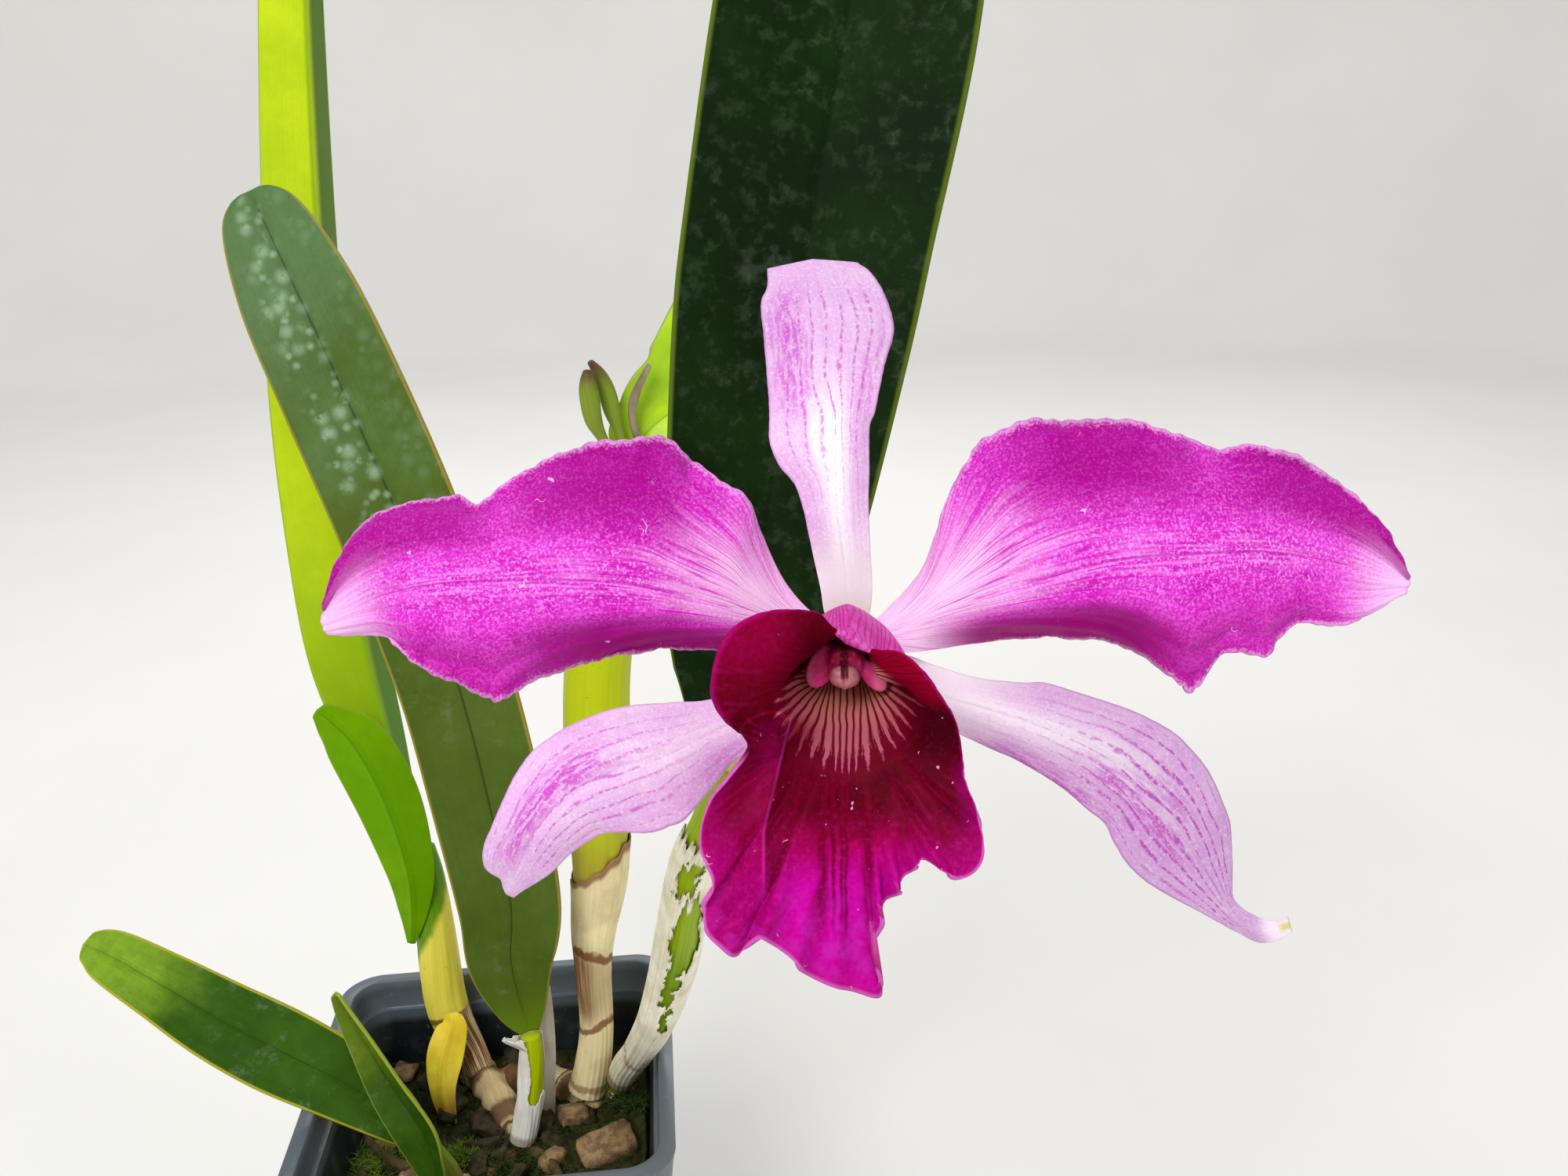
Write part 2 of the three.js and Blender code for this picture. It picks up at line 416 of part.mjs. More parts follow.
// A sleeve: the middle surface(s, t), with t running once round, thickened to both sides.
function sleeve(surface, thickness, along, around) {
  const positions = [];
  const index = [];
  const sheet = (along + 1) * around;
  const step = 0.004;
  for (const face of [0.5, -0.5]) {
    for (let i = 0; i <= along; i++) {
      for (let j = 0; j < around; j++) {
        const [s, t] = [i / along, j / around];
        const alongS = surface(Math.min(s + step, 1), t).sub(surface(Math.max(s - step, 0), t));
        const roundT = surface(s, (t + step) % 1).sub(surface(s, (t - step + 1) % 1));
        const normal = alongS.cross(roundT).normalize();
        positions.push(...surface(s, t).addScaledVector(normal, face * thickness).toArray());
      }
    }
  }
  for (let i = 0; i <= along; i++) {
    for (let j = 0; j < around; j++) {
      const [a, b] = [i * around + j, i * around + (j + 1) % around];
      if (i < along) {
        const [c, d] = [b + around, a + around];
        index.push(a, d, c, a, c, b);
        index.push(a + sheet, c + sheet, d + sheet, a + sheet, b + sheet, c + sheet);
      }
      if (i === 0) index.push(b, b + sheet, a + sheet, b, a + sheet, a);
      if (i === along) index.push(a, a + sheet, b + sheet, a, b + sheet, b);
    }
  }
  return solid(positions, index);
}

// ---- Pot and mix -----------------------------------------------------------------------------------

function squareRing(half, corner, z) {
  const ring = [];
  for (let quarter = 0; quarter < 4; quarter++) {
    const [sx, sy] = [[1, 1], [-1, 1], [-1, -1], [1, -1]][quarter];
    for (let step = 0; step <= CORNER_STEPS; step++) {
      const angle = (quarter + step / CORNER_STEPS) * (Math.PI / 2);
      ring.push(new THREE.Vector3(
        sx * (half - corner) + corner * Math.cos(angle),
        sy * (half - corner) + corner * Math.sin(angle),
        z,
      ));
    }
  }
  return ring;
}

// Half width of the pot's inner wall below the ledge at height z.
function innerHalf(z) {
  return THREE.MathUtils.mapLinear(z, POT_FLOOR, POT_HEIGHT - POT_LEDGE_DROP,
    POT_BASE_HALF - POT_WALL, POT_RIM_HALF - POT_RIM_WIDTH - 2);
}

function pot() {
  const rimInner = POT_RIM_HALF - POT_RIM_WIDTH;
  const ledge = POT_HEIGHT - POT_LEDGE_DROP;
  const body = loft([
    squareRing(POT_BASE_HALF, POT_CORNER - 4, 0),
    squareRing(POT_BASE_HALF + 0.8, POT_CORNER - 4, 2),
    squareRing(POT_RIM_HALF - 3.8, POT_CORNER - 1, POT_HEIGHT - 15),
    squareRing(POT_RIM_HALF - 1.6, POT_CORNER - 0.5, POT_HEIGHT - 14),
    squareRing(POT_RIM_HALF - 0.6, POT_CORNER, POT_HEIGHT - 2),
    squareRing(POT_RIM_HALF, POT_CORNER, POT_HEIGHT - 1.4),
    squareRing(POT_RIM_HALF - 0.4, POT_CORNER, POT_HEIGHT),
    squareRing(rimInner + 0.6, POT_CORNER - 3, POT_HEIGHT),
    squareRing(rimInner, POT_CORNER - 3, POT_HEIGHT - 0.8),
    squareRing(rimInner - 0.5, POT_CORNER - 3, ledge + 0.6),
    squareRing(rimInner - 2, POT_CORNER - 4, ledge),
    squareRing(innerHalf(POT_FLOOR), POT_CORNER - 5, POT_FLOOR),
  ]);
  const drill = new THREE.CylinderGeometry(DRAIN_RADIUS, DRAIN_RADIUS, 4 * POT_FLOOR, 16);
  drill.rotateX(Math.PI / 2);
  return [[1, 1], [-1, 1], [-1, -1], [1, -1]].reduce((rest, [sx, sy]) => (
    rest.subtract(solidOfGeometry(drill.clone().translate(sx * DRAIN_OFFSET, sy * DRAIN_OFFSET, 0)))
  ), body);
}

// Repeatable random numbers between 0 and 1.
function randomFrom(seed) {
  let state = seed;
  return () => {
    state = (state * 1664525 + 1013904223) % 4294967296;
    return state / 4294967296;
  };
}

function mixHeight(x, y) {
  return MIX_TOP + 1.1 * Math.sin(x / 7 + 1) * Math.cos(y / 6) + 0.7 * Math.sin((x + y) / 3.7);
}

function barkChip(x, y, z, size, turn) {
  const chip = new THREE.BoxGeometry(...size);
  return solidOfGeometry(chip.rotateX(turn[0]).rotateY(turn[1]).rotateZ(turn[2]).translate(x, y, z));
}

function pottingMix() {
  const wall = (z) => innerHalf(z) - GAP;
  const corner = POT_CORNER - 4;
  const rings = [squareRing(wall(POT_FLOOR + GAP), corner, POT_FLOOR + GAP)];
  for (const share of [1, 0.8, 0.58, 0.36, 0.14]) {
    const ring = squareRing(wall(MIX_TOP - 2) * share, corner * share, MIX_TOP);
    rings.push(ring.map((point) => point.setZ(mixHeight(point.x, point.y) - (share === 1 ? 2 : 0))));
  }
  let mix = loft(rings);
  const random = randomFrom(CHIP_SEED);
  const spread = () => (random() - 0.5) * 2;
  for (let k = 0; k < CHIP_COUNT; k++) {
    const [x, y] = [spread() * 34, spread() * 34];
    const size = [9 + random() * 7, 6 + random() * 4, 4 + random() * 2];
    const turn = [spread() * 0.35, spread() * 0.3, random() * Math.PI];
    mix = mix.add(barkChip(x, y, mixHeight(x, y) - 0.4, size, turn));
  }
  mix = mix.add(barkChip(33, -8, MIX_TOP + 1.2, [19, 12, 6], [0.16, -0.14, 0.35]));
  return mix.add(barkChip(16.5, -12, MIX_TOP + 1.4, [9, 6, 5], [0.2, 0.1, 1]));
}

// ---- The plant -------------------------------------------------------------------------------------

function rootstock(grow = 0) {
  const stocks = ROOTSTOCKS.map((stations) => stem(stations, 8, 9, grow));
  const roots = ROOTS.map((stations) => stem(stations, 5, 6, grow));
  return [...stocks, ...roots].reduce((all, part) => all.add(part));
}

function leafSurface({ rib, face, fold }) {
  const spine = curveThrough(rib);
  const angle = THREE.MathUtils.degToRad(fold);
  return (s, u) => {
    const tangent = spine.getTangent(s);
    const across = tangent.clone().cross(new THREE.Vector3(...face)).normalize();
    const up = across.clone().cross(tangent).normalize();
    const half = smoothRow(rib, s)[3];
    const lift = Math.sqrt(u * u + 0.02) - Math.sqrt(0.02);
    return spine.getPoint(s)
      .addScaledVector(across, half * u * Math.cos(angle))
      .addScaledVector(up, half * lift * Math.sin(angle));
  };
}

function leaf(spec, along) {
  const thickness = (s, u) => spec.thickness * (1 - LEAF_THINNING * u * u);
  return blade(leafSurface(spec), thickness, along, 4);
}

function petalSurface({ upper, middle, lower, frill, waves }) {
  const [above, rib, below] = [upper, middle, lower].map(curveThrough);
  return (s, u) => {
    const out = Math.abs(u);
    const root = rib.getPointAt(s);
    const edge = (u < 0 ? below : above).getPointAt(s);
    const point = root.clone().lerp(edge, out);
    point.z = THREE.MathUtils.lerp(root.z, edge.z, out * out);
    point.z += frill * out ** 3 * Math.sin(Math.PI * s) * Math.sin(2 * Math.PI * waves * s + (u < 0 ? 1.3 : 0));
    return point;
  };
}

function petal(spec, along, across) {
  const thickness = (s, u) => THREE.MathUtils.lerp(PETAL_MIDDLE, PETAL_EDGE, u * u);
  return blade(petalSurface(spec), thickness, along, across);
}

// The lip's middle surface: the tube's rings, then a flare that rolls forward and out to the margin.
function lipPoint(s, t) {
  const [turn, x, y, z] = smoothRow(LIP_MARGIN_LOOP, t);
  const angle = THREE.MathUtils.degToRad(turn);
  const ring = smoothRow(LIP_TUBE, Math.min(s / THROAT_SHARE, 1));
  const [ringZ, centreX, centreY, halfWidth, halfHeight] = ring;
  const fromTop = Math.atan2(Math.cos(angle), Math.sin(angle));
  const roof = LIP_PEAK * Math.exp(-((fromTop / 0.4) ** 2)) * THREE.MathUtils.smoothstep(s, 0.12, THROAT_SHARE);
  const throat = new THREE.Vector3(
    centreX + halfWidth * Math.cos(angle),
    centreY + halfHeight * Math.sin(angle) + roof,
    ringZ,
  );
  if (s <= THROAT_SHARE) return throat;
  const f = (s - THROAT_SHARE) / (1 - THROAT_SHARE);
  const margin = new THREE.Vector3(x, y, z);
  const roll = throat.clone().lerp(margin, 0.3).setZ(throat.z + LIP_ROLL);
  return throat
    .multiplyScalar((1 - f) ** 2)
    .addScaledVector(roll, 2 * f * (1 - f))
    .addScaledVector(margin, f * f);
}

function lip() {
  return sleeve(lipPoint, LIP_THICKNESS, ...LIP_STEPS);
}

function ellipsoid(centre, radii, grow = 0) {
  const ball = new THREE.SphereGeometry(1, 12, 8);
  ball.scale(...radii.map((radius) => radius + grow));
  return solidOfGeometry(ball.translate(...centre));
}

function column() {
  const body = stem(COLUMN, 12, 8);
  const winged = COLUMN_WINGS.reduce((all, { centre, radii }) => all.add(ellipsoid(centre, radii)), body);
  return winged.subtract(ellipsoid(CAP_CENTRE, CAP_RADII, GAP));
}

function knob(grow) {
  const bar = new THREE.CylinderGeometry(KNOB_RADIUS + grow, KNOB_RADIUS + grow, KNOB_LENGTH + 2 * grow, 16);
  return solidOfGeometry(bar.rotateX(Math.PI / 2).translate(KNOB[0], KNOB[1], KNOB[2] - KNOB_LENGTH / 2));
}

// A papery sheath round a stem, a wall thick and a gap clear of it, less what the cuts take away.
function sheath(makeStem, cuts) {
  const tube = makeStem(GAP + SHEATH_WALL).subtract(makeStem(GAP));
  return cuts.reduce((rest, cut) => rest.subtract(cut), tube);
}

// A block that takes away everything past a point, on the side its axis looks.
function cutPast(point, axis) {
  const reach = 60;
  const block = new THREE.BoxGeometry(2 * reach, 2 * reach, 2 * reach).translate(0, 0, reach);
  const turn = new THREE.Quaternion().setFromUnitVectors(
    new THREE.Vector3(0, 0, 1),
    new THREE.Vector3(...axis).normalize(),
  );
  return solidOfGeometry(block.applyQuaternion(turn).translate(...point));
}

// ---- Assembly --------------------------------------------------------------------------------------

function finish(colour, roughness, metalness = 0) {
  return new THREE.MeshStandardMaterial({ color: colour, roughness, metalness });
}

function addPiece(group, name, whole, material) {
  const mesh = new THREE.Mesh(geometryOf(whole), material);
  mesh.name = name;
  group.add(mesh);
}

const plant = new THREE.Group();
const flower = new THREE.Group();
flower.position.set(...FLOWER_CENTRE);
flower.rotateZ(THREE.MathUtils.degToRad(FLOWER_TURN));
flower.rotateX(THREE.MathUtils.degToRad(90 - FLOWER_TILT));
flower.rotateZ(THREE.MathUtils.degToRad(FLOWER_ROLL));
flower.updateMatrixWorld();
plant.add(flower);

function inWorld(x, y, z, radius) {
  return [...new THREE.Vector3(x, y, z).applyMatrix4(flower.matrixWorld).toArray(), radius];
}

function flowerStalk(grow = 0) {
  const [x, y, z] = KNOB;
  const ovary = [
    inWorld(x, y, z - KNOB_LENGTH - 4, 2.7),
    inWorld(x, y, z - KNOB_LENGTH, KNOB_RADIUS),
    inWorld(x, y, z, KNOB_RADIUS),
  ];
  return stem([FLOWER_STALK_START, ...FLOWER_STALK, ...ovary], 10, 18, grow);
}

const STEMS = {
  bulb_right: (grow = 0) => stem(BULB_RIGHT, 12, 16, grow),
  bulb_middle: (grow = 0) => stem(BULB_MIDDLE, 12, 18, grow),
  bulb_left: (grow = 0) => stem(BULB_LEFT, 12, 12, grow),
  stem_front: (grow = 0) => stem(STEM_FRONT, 10, 8, grow),
  stem_small: (grow = 0) => stem(STEM_SMALL, 10, 6, grow),
};

function addPotAndMix() {
  addPiece(plant, 'pot', pot(), finish(0x1c2328, 0.45));
  const standing = [rootstock(GAP), ...Object.values(STEMS).map((make) => make(GAP))];
  const mix = standing.reduce((rest, part) => rest.subtract(part), pottingMix());
  addPiece(plant, 'potting_mix', mix, finish(0x3a2d1c, 0.95));
}

function addStems() {
  const colours = {
    bulb_right: 0x8fae26, bulb_middle: 0x9bb51f, bulb_left: 0xd9c44a, stem_front: 0x7fae2a, stem_small: 0x5d8f2a,
  };
  for (const [name, make] of Object.entries(STEMS)) {
    addPiece(plant, name, make(), finish(colours[name], 0.5));
  }
  const seats = Object.values(STEMS).map((make) => make(GAP));
  const stock = seats.reduce((rest, seat) => rest.subtract(seat), rootstock());
  addPiece(plant, 'rhizome', stock, finish(0x7a5a34, 0.85));
}

function addSheaths() {
  const paper = finish(0xd8d0b6, 0.8);
  const windows = [
    ellipsoid([68.5, -50, 203], [4, 8, 12]),
    ellipsoid([65, -32, 174], [4.5, 7, 13]),
    ellipsoid([59.5, -15, 142], [4, 5, 12]),
  ];
  const right = sheath(STEMS.bulb_right, [
    cutPast([39, 10, 92.5], [0, 0, -1]),
    cutPast([67.5, -62, 218], [-0.2, -0.8, 0.8]),
    ...windows,
  ]);
  addPiece(plant, 'sheath_right', right.subtract(STEMS.bulb_middle(2 * GAP)), paper);
  const middle = sheath(STEMS.bulb_middle, [
    cutPast([28, 18, 97], [0, 0, -1]),
    cutPast([34, 17, 163], [-0.62, 0, 1]),
  ]);
  addPiece(plant, 'sheath_middle', middle, finish(0xc9b98a, 0.8));
  const front = sheath(STEMS.stem_front, [
    cutPast([7.5, -1, 88.5], [0, 0, -1]),
    cutPast([10.5, 2.5, 110], [0.7, 0, 1]),
    ellipsoid([15.5, -2, 103], [4, 5, 9]),
  ]);
  addPiece(plant, 'sheath_front', front, paper);
}

function addLeaves() {
  const mixBelow = (grow) => pottingMix().translate(0, 0, 1.4 * grow);
  const bases = {
    leaf_right: [STEMS.bulb_right, flowerStalk],
    leaf_middle: [STEMS.bulb_middle],
    leaf_left_tall: [STEMS.bulb_left],
    leaf_left_short: [STEMS.bulb_left],
    leaf_front_long: [STEMS.stem_front],
    leaf_low: [STEMS.stem_small],
    leaf_small: [STEMS.stem_small],
    bract_yellow: [mixBelow, rootstock],
    scale_front: [mixBelow, rootstock],
    bract_middle: [STEMS.bulb_middle],
  };
  for (const [name, spec] of Object.entries(LEAVES)) {
    const whole = leaf(spec, spec.rib.length > 6 ? LONG_LEAF_STEPS : SHORT_LEAF_STEPS);
    const seated = bases[name].reduce((rest, make) => rest.subtract(make(GAP)), whole);
    addPiece(plant, name, seated, finish(spec.colour, 0.4));
  }
  for (const [name, stations] of Object.entries(BUDS)) {
    addPiece(plant, name, stem(stations, 8, 9).subtract(STEMS.bulb_middle(GAP)), finish(0x6b7a2c, 0.5));
  }
}

function addFlower() {
  addPiece(plant, 'flower_stalk', flowerStalk().subtract(STEMS.bulb_right(GAP)), finish(0x9aa83a, 0.5));
  addPiece(flower, 'column', column(), finish(0xc2347f, 0.5));
  addPiece(flower, 'anther_cap', ellipsoid(CAP_CENTRE, CAP_RADII), finish(0xe6c3cf, 0.5));
  addPiece(flower, 'lip', lip().subtract(knob(GAP)), finish(0x9c0f5c, 0.5));
  for (const [name, spec] of Object.entries(PETALS)) {
    const whole = petal(spec, ...(name.startsWith('petal') ? PETAL_STEPS : SEPAL_STEPS));
    addPiece(flower, name, whole.subtract(knob(GAP)), finish(spec.colour, 0.55));
  }
}

addPotAndMix();
addStems();
addSheaths();
addLeaves();
addFlower();

export default plant;
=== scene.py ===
"""A flowering cattleya orchid in a square pot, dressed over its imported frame."""

import math
import random

import bmesh
import bpy
import numpy as np
from mathutils import Euler, Matrix, Vector, noise


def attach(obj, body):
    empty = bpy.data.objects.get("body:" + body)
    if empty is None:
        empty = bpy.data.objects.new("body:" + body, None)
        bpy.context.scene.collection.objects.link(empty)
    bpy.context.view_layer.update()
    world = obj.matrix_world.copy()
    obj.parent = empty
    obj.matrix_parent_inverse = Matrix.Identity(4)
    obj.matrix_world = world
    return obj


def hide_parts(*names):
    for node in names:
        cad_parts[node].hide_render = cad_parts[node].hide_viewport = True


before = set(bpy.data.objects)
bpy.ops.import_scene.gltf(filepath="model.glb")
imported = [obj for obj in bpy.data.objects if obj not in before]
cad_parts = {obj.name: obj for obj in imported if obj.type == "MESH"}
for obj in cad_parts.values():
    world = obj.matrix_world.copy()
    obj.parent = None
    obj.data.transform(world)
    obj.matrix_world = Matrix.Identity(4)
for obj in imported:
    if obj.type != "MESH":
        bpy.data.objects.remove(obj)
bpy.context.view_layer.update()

bl_info = {
    "name": "Potted cattleya orchid",
    "version": (1, 0, 0),
    "blender": (4, 5, 0),
    "location": "3D View > Sidebar > Orchid",
    "description": "Builds an orchid's flower, leaves, bulbs, sheaths, bark mix and pot",
    "category": "Add Mesh",
}

MM = 0.001

# ---- Forms, in millimetres --------------------------------------------------------------------------

# Stems: [x, y, z, radius] from the foot to the top.
BULB_RIGHT = [
    [36, 20.6, 84, 3.8], [39.3, 9.8, 98.9, 3.9], [44.8, -0.2, 113, 4], [51, -7.5, 128.5, 5],
    [56.2, -14.1, 147.9, 5.9], [59.6, -24.7, 168.1, 5.9], [63.9, -44.6, 198.7, 5.4],
    [68.8, -68.3, 224.5, 4.6], [73.2, -90.5, 248.1, 3.8],
]
BULB_MIDDLE = [
    [25.2, 17.8, 84, 5.3], [28.6, 17.8, 96.1, 4.9], [31, 17.3, 111.4, 4.4], [31.3, 17.2, 130.5, 4.7],
    [32.4, 18, 146.1, 6.2], [35.6, 17.9, 166.1, 8], [37.7, 17.5, 200.9, 9.8], [39.9, 16.7, 231.5, 9.6],
    [45, 16.2, 260.4, 9.2], [50.4, 13.9, 284, 8], [54.5, 13.1, 298.6, 5.5],
]
BULB_LEFT = [
    [-9.2, 29.6, 86.4, 4.6], [-13.1, 35.2, 93.7, 5], [-18.6, 39.6, 102.5, 6.6], [-20.4, 41.2, 110, 6.8],
    [-21.1, 42.3, 118.9, 6.7], [-21.5, 44.6, 135.5, 6.2], [-22.6, 46.9, 151.9, 5.7],
    [-24.4, 49.2, 163.5, 4.8],
]
STEM_FRONT = [
    [6.2, -1.6, 83.5, 3.2], [8.6, -0.4, 92, 3.3], [10.4, 1, 101, 3.4], [11.6, 3.2, 112, 3.3],
    [11.6, 4.2, 119, 2.9],
]
STEM_SMALL = [
    [-13.5, -16.5, 83.6, 4], [-15.5, -16.2, 88, 4.2], [-18, -15.5, 93, 3.8], [-20.5, -14.5, 97.5, 3],
]
ROOTSTOCKS = [
    [[-20, 38, 80, 4], [-13, 36, 83, 5], [-6.5, 26, 85.5, 5.4], [0, 12, 84, 5], [5.5, -1, 80, 4.4],
     [-2, -10, 79.5, 4], [-13.5, -17, 79.5, 4.2]],
    [[40, 22, 79.5, 4], [34, 20.5, 81, 4.8], [26, 18, 81, 5], [16, 25, 84, 5.2], [4, 28, 84.5, 5],
     [-6, 27, 84, 4.6]],
]
ROOTS = [
    [[-14, -17, 79, 2], [-23, -13, 84.5, 1.9], [-33, -7, 86, 1.7], [-41, 2, 85.5, 1.5], [-43, 12, 83, 1.2]],
    [[-13, -18, 79, 2], [-24, -20, 84.5, 1.8], [-35, -17, 85.5, 1.6], [-42, -10, 84.5, 1.3]],
    [[-13, -18, 79, 2], [-14, -26, 84, 1.8], [-9, -34, 85.5, 1.6], [2, -39, 85, 1.4], [14, -40, 83.5, 1.2]],
    [[5.5, -1, 79, 2], [12, -8, 84, 1.8], [18, -18, 85.5, 1.6], [20, -29, 84.5, 1.3]],
]

# Leaves: midrib as [x, y, z, half width], the way the upper face looks, and the fold of each half in
# degrees. A long leaf has more than LONG_RIB rows, and a broad one is past BROAD_HALF at row BROAD_ROW.
FORWARD = [-0.08, -0.95, 0.3]
LONG_RIB, BROAD_ROW, BROAD_HALF = 8, 4, 14
LEAVES = {
    "leaf_right": {
        "rib": [[72.4, -88.4, 249, 3.4], [73.2, -86.6, 258, 8.4], [76.2, -86, 268, 14.4],
                [79.4, -85, 280, 18.4], [84.6, -81.1, 306.1, 21.8], [90.9, -75.3, 338.2, 25],
                [95.6, -70.7, 360.1, 26.2], [106.6, -59.8, 406.2, 27.6], [116.1, -45.5, 452.3, 24.6],
                [122.5, -32, 487, 16], [125.5, -25, 503, 5]],
        "face": FORWARD, "fold": 9, "thickness": 1.6,
    },
    "leaf_middle": {
        "rib": [[54.6, 13.4, 297.4, 4.1], [55.9, 13.9, 300.3, 9], [59.6, 14.6, 303.7, 11.4],
                [64.4, 15.5, 307.3, 14.4], [73.4, 17.5, 312.6, 18.4], [87, 22.5, 325.9, 22.4],
                [104.6, 30, 348.7, 23.1], [118.3, 37.5, 371.1, 22.1], [127.5, 45, 393, 18.9],
                [132.1, 51, 411.8, 12.9], [134.4, 54.5, 424.4, 4.2]],
        "face": FORWARD, "fold": 10, "thickness": 1.5,
    },
    "leaf_left_tall": {
        "rib": [[-23.9, 49.6, 162.1, 4.4], [-28.2, 52.8, 180, 9], [-31.7, 56, 197.3, 13],
                [-36.4, 60.9, 224.9, 17], [-39.4, 67.5, 260.6, 17.6], [-41.6, 80, 308.5, 18],
                [-42.2, 95.5, 360.2, 16.2], [-41.4, 116.7, 425.9, 13.9], [-40, 134.2, 473.3, 11],
                [-38.8, 145, 500.1, 4]],
        "face": [0.73, -0.61, 0.3], "fold": -34, "thickness": 1.5,
    },
    "leaf_left_short": {
        "rib": [[-28.6, 39.6, 132.8, 1.2], [-26.8, 39, 144.8, 5], [-26.6, 39.2, 160.2, 8.2],
                [-31, 39.8, 184.5, 10.7], [-37.9, 40.4, 203.4, 10], [-44, 40.4, 212.2, 5.8],
                [-47.8, 39.6, 216.8, 2.2]],
        "face": FORWARD, "fold": -16, "thickness": 1.4,
    },
    "leaf_front_long": {
        "rib": [[11.4, 4.6, 120, 3.2], [9.6, 4.9, 128.3, 8], [7.8, 5.9, 144.4, 13.2],
                [9.4, 6, 164.5, 15.6], [5.6, 8.4, 200, 16.6], [0.9, 11.3, 230.3, 16.8],
                [-6.2, 16, 259, 17.4], [-13.1, 21.4, 283.4, 18], [-26.6, 32.9, 318.4, 17.8],
                [-37.2, 42.9, 342.8, 16.6], [-46.2, 52.3, 362.9, 11.8], [-49.5, 56.2, 370.4, 4.4]],
        "face": FORWARD, "fold": 11, "thickness": 1.5,
    },
    "leaf_low": {
        "rib": [[-21.5, -13.8, 98.2, 4.2], [-27.6, -12.4, 105, 7.4], [-35.8, -11, 112.5, 9.8],
                [-44.7, -10, 119.5, 11.2], [-60.1, -8.7, 130, 12.2], [-75.1, -7.4, 140.7, 11.4],
                [-90.1, -5.2, 152.2, 9.6], [-104, -3.5, 162.8, 7.4], [-110.5, -2.9, 166.5, 3.6]],
        "face": [0.3, -0.8, 0.55], "fold": 12, "thickness": 1.3,
    },
    "leaf_small": {
        "rib": [[-15.5, -21.5, 88.5, 3.4], [-17.3, -20, 95, 6.4], [-19.7, -18.2, 103.8, 8.2],
                [-26.6, -15.6, 116.9, 7.2], [-33.1, -13.4, 131.7, 5], [-37.8, -11.6, 141.8, 3.4],
                [-40.6, -10.8, 148.8, 1.7]],
        "face": [-0.35, -0.85, 0.35], "fold": 34, "thickness": 1.1,
    },
    "bract_yellow": {
        "rib": [[-17.9, 11.4, 82, 2.2], [-20, 16.6, 91.5, 4.4], [-19.4, 22.4, 99.7, 6.2],
                [-17, 28.6, 106.9, 5], [-17.6, 31.4, 110, 2]],
        "face": FORWARD, "fold": -18, "thickness": 0.6,
    },
    "scale_front": {
        "rib": [[13.2, 8.3, 81.5, 2.8], [13.9, 9.4, 96, 3.2], [14.9, 10.4, 106, 3.2],
                [15.8, 11.4, 120, 2.5], [16.5, 12, 131, 1.5]],
        "face": FORWARD, "fold": -30, "thickness": 0.4,
    },
    "bract_middle": {
        "rib": [[58, 10.4, 297.6, 1.2], [55.2, 10.6, 307, 1.3], [56, 11.2, 313.7, 1.3],
                [60.9, 12.6, 322.4, 0.8]],
        "face": [-0.5, -0.8, 0.3], "fold": -20, "thickness": 0.6,
    },
}

BUDS = {
    "bud_left": [[50.2, 8.6, 296.5, 1.3], [46.8, 6.4, 304.1, 1.5], [44.9, 5.6, 309.3, 2.4],
                 [44.4, 5.2, 315.7, 2.7], [44.2, 5.6, 319.9, 2.1], [44, 6, 322.8, 0.8]],
    "bud_right": [[53, 10, 297, 1.3], [51.3, 9.7, 305, 1.5], [50, 9.7, 310.4, 2.3],
                 [48.9, 9.7, 316.1, 2.4], [47.3, 9.7, 320.6, 1.8], [44.7, 9.2, 324.6, 0.7]],
}

# The flower's own frame: +X to the viewer's right, +Y up, +Z out of its face.
FLOWER_CENTRE = [90.9, -154.6, 299.2]
FLOWER_AXES = Matrix.Rotation(math.radians(-5), 3, "Z") @ Matrix.Rotation(math.radians(72), 3, "X")
FLOWER_AXES = FLOWER_AXES @ Matrix.Rotation(math.radians(-1.9), 3, "Z")
FLOWER_STALK = [[73.4, -91.4, 249.2, 2.1], [78.4, -98.5, 262, 1.9], [84.6, -110, 276.5, 1.8],
                [89.6, -124, 287.4, 2.1]]
KNOB = [0.8, 0.6, -8.6]
KNOB_RADIUS = 2.9
KNOB_LENGTH = 7

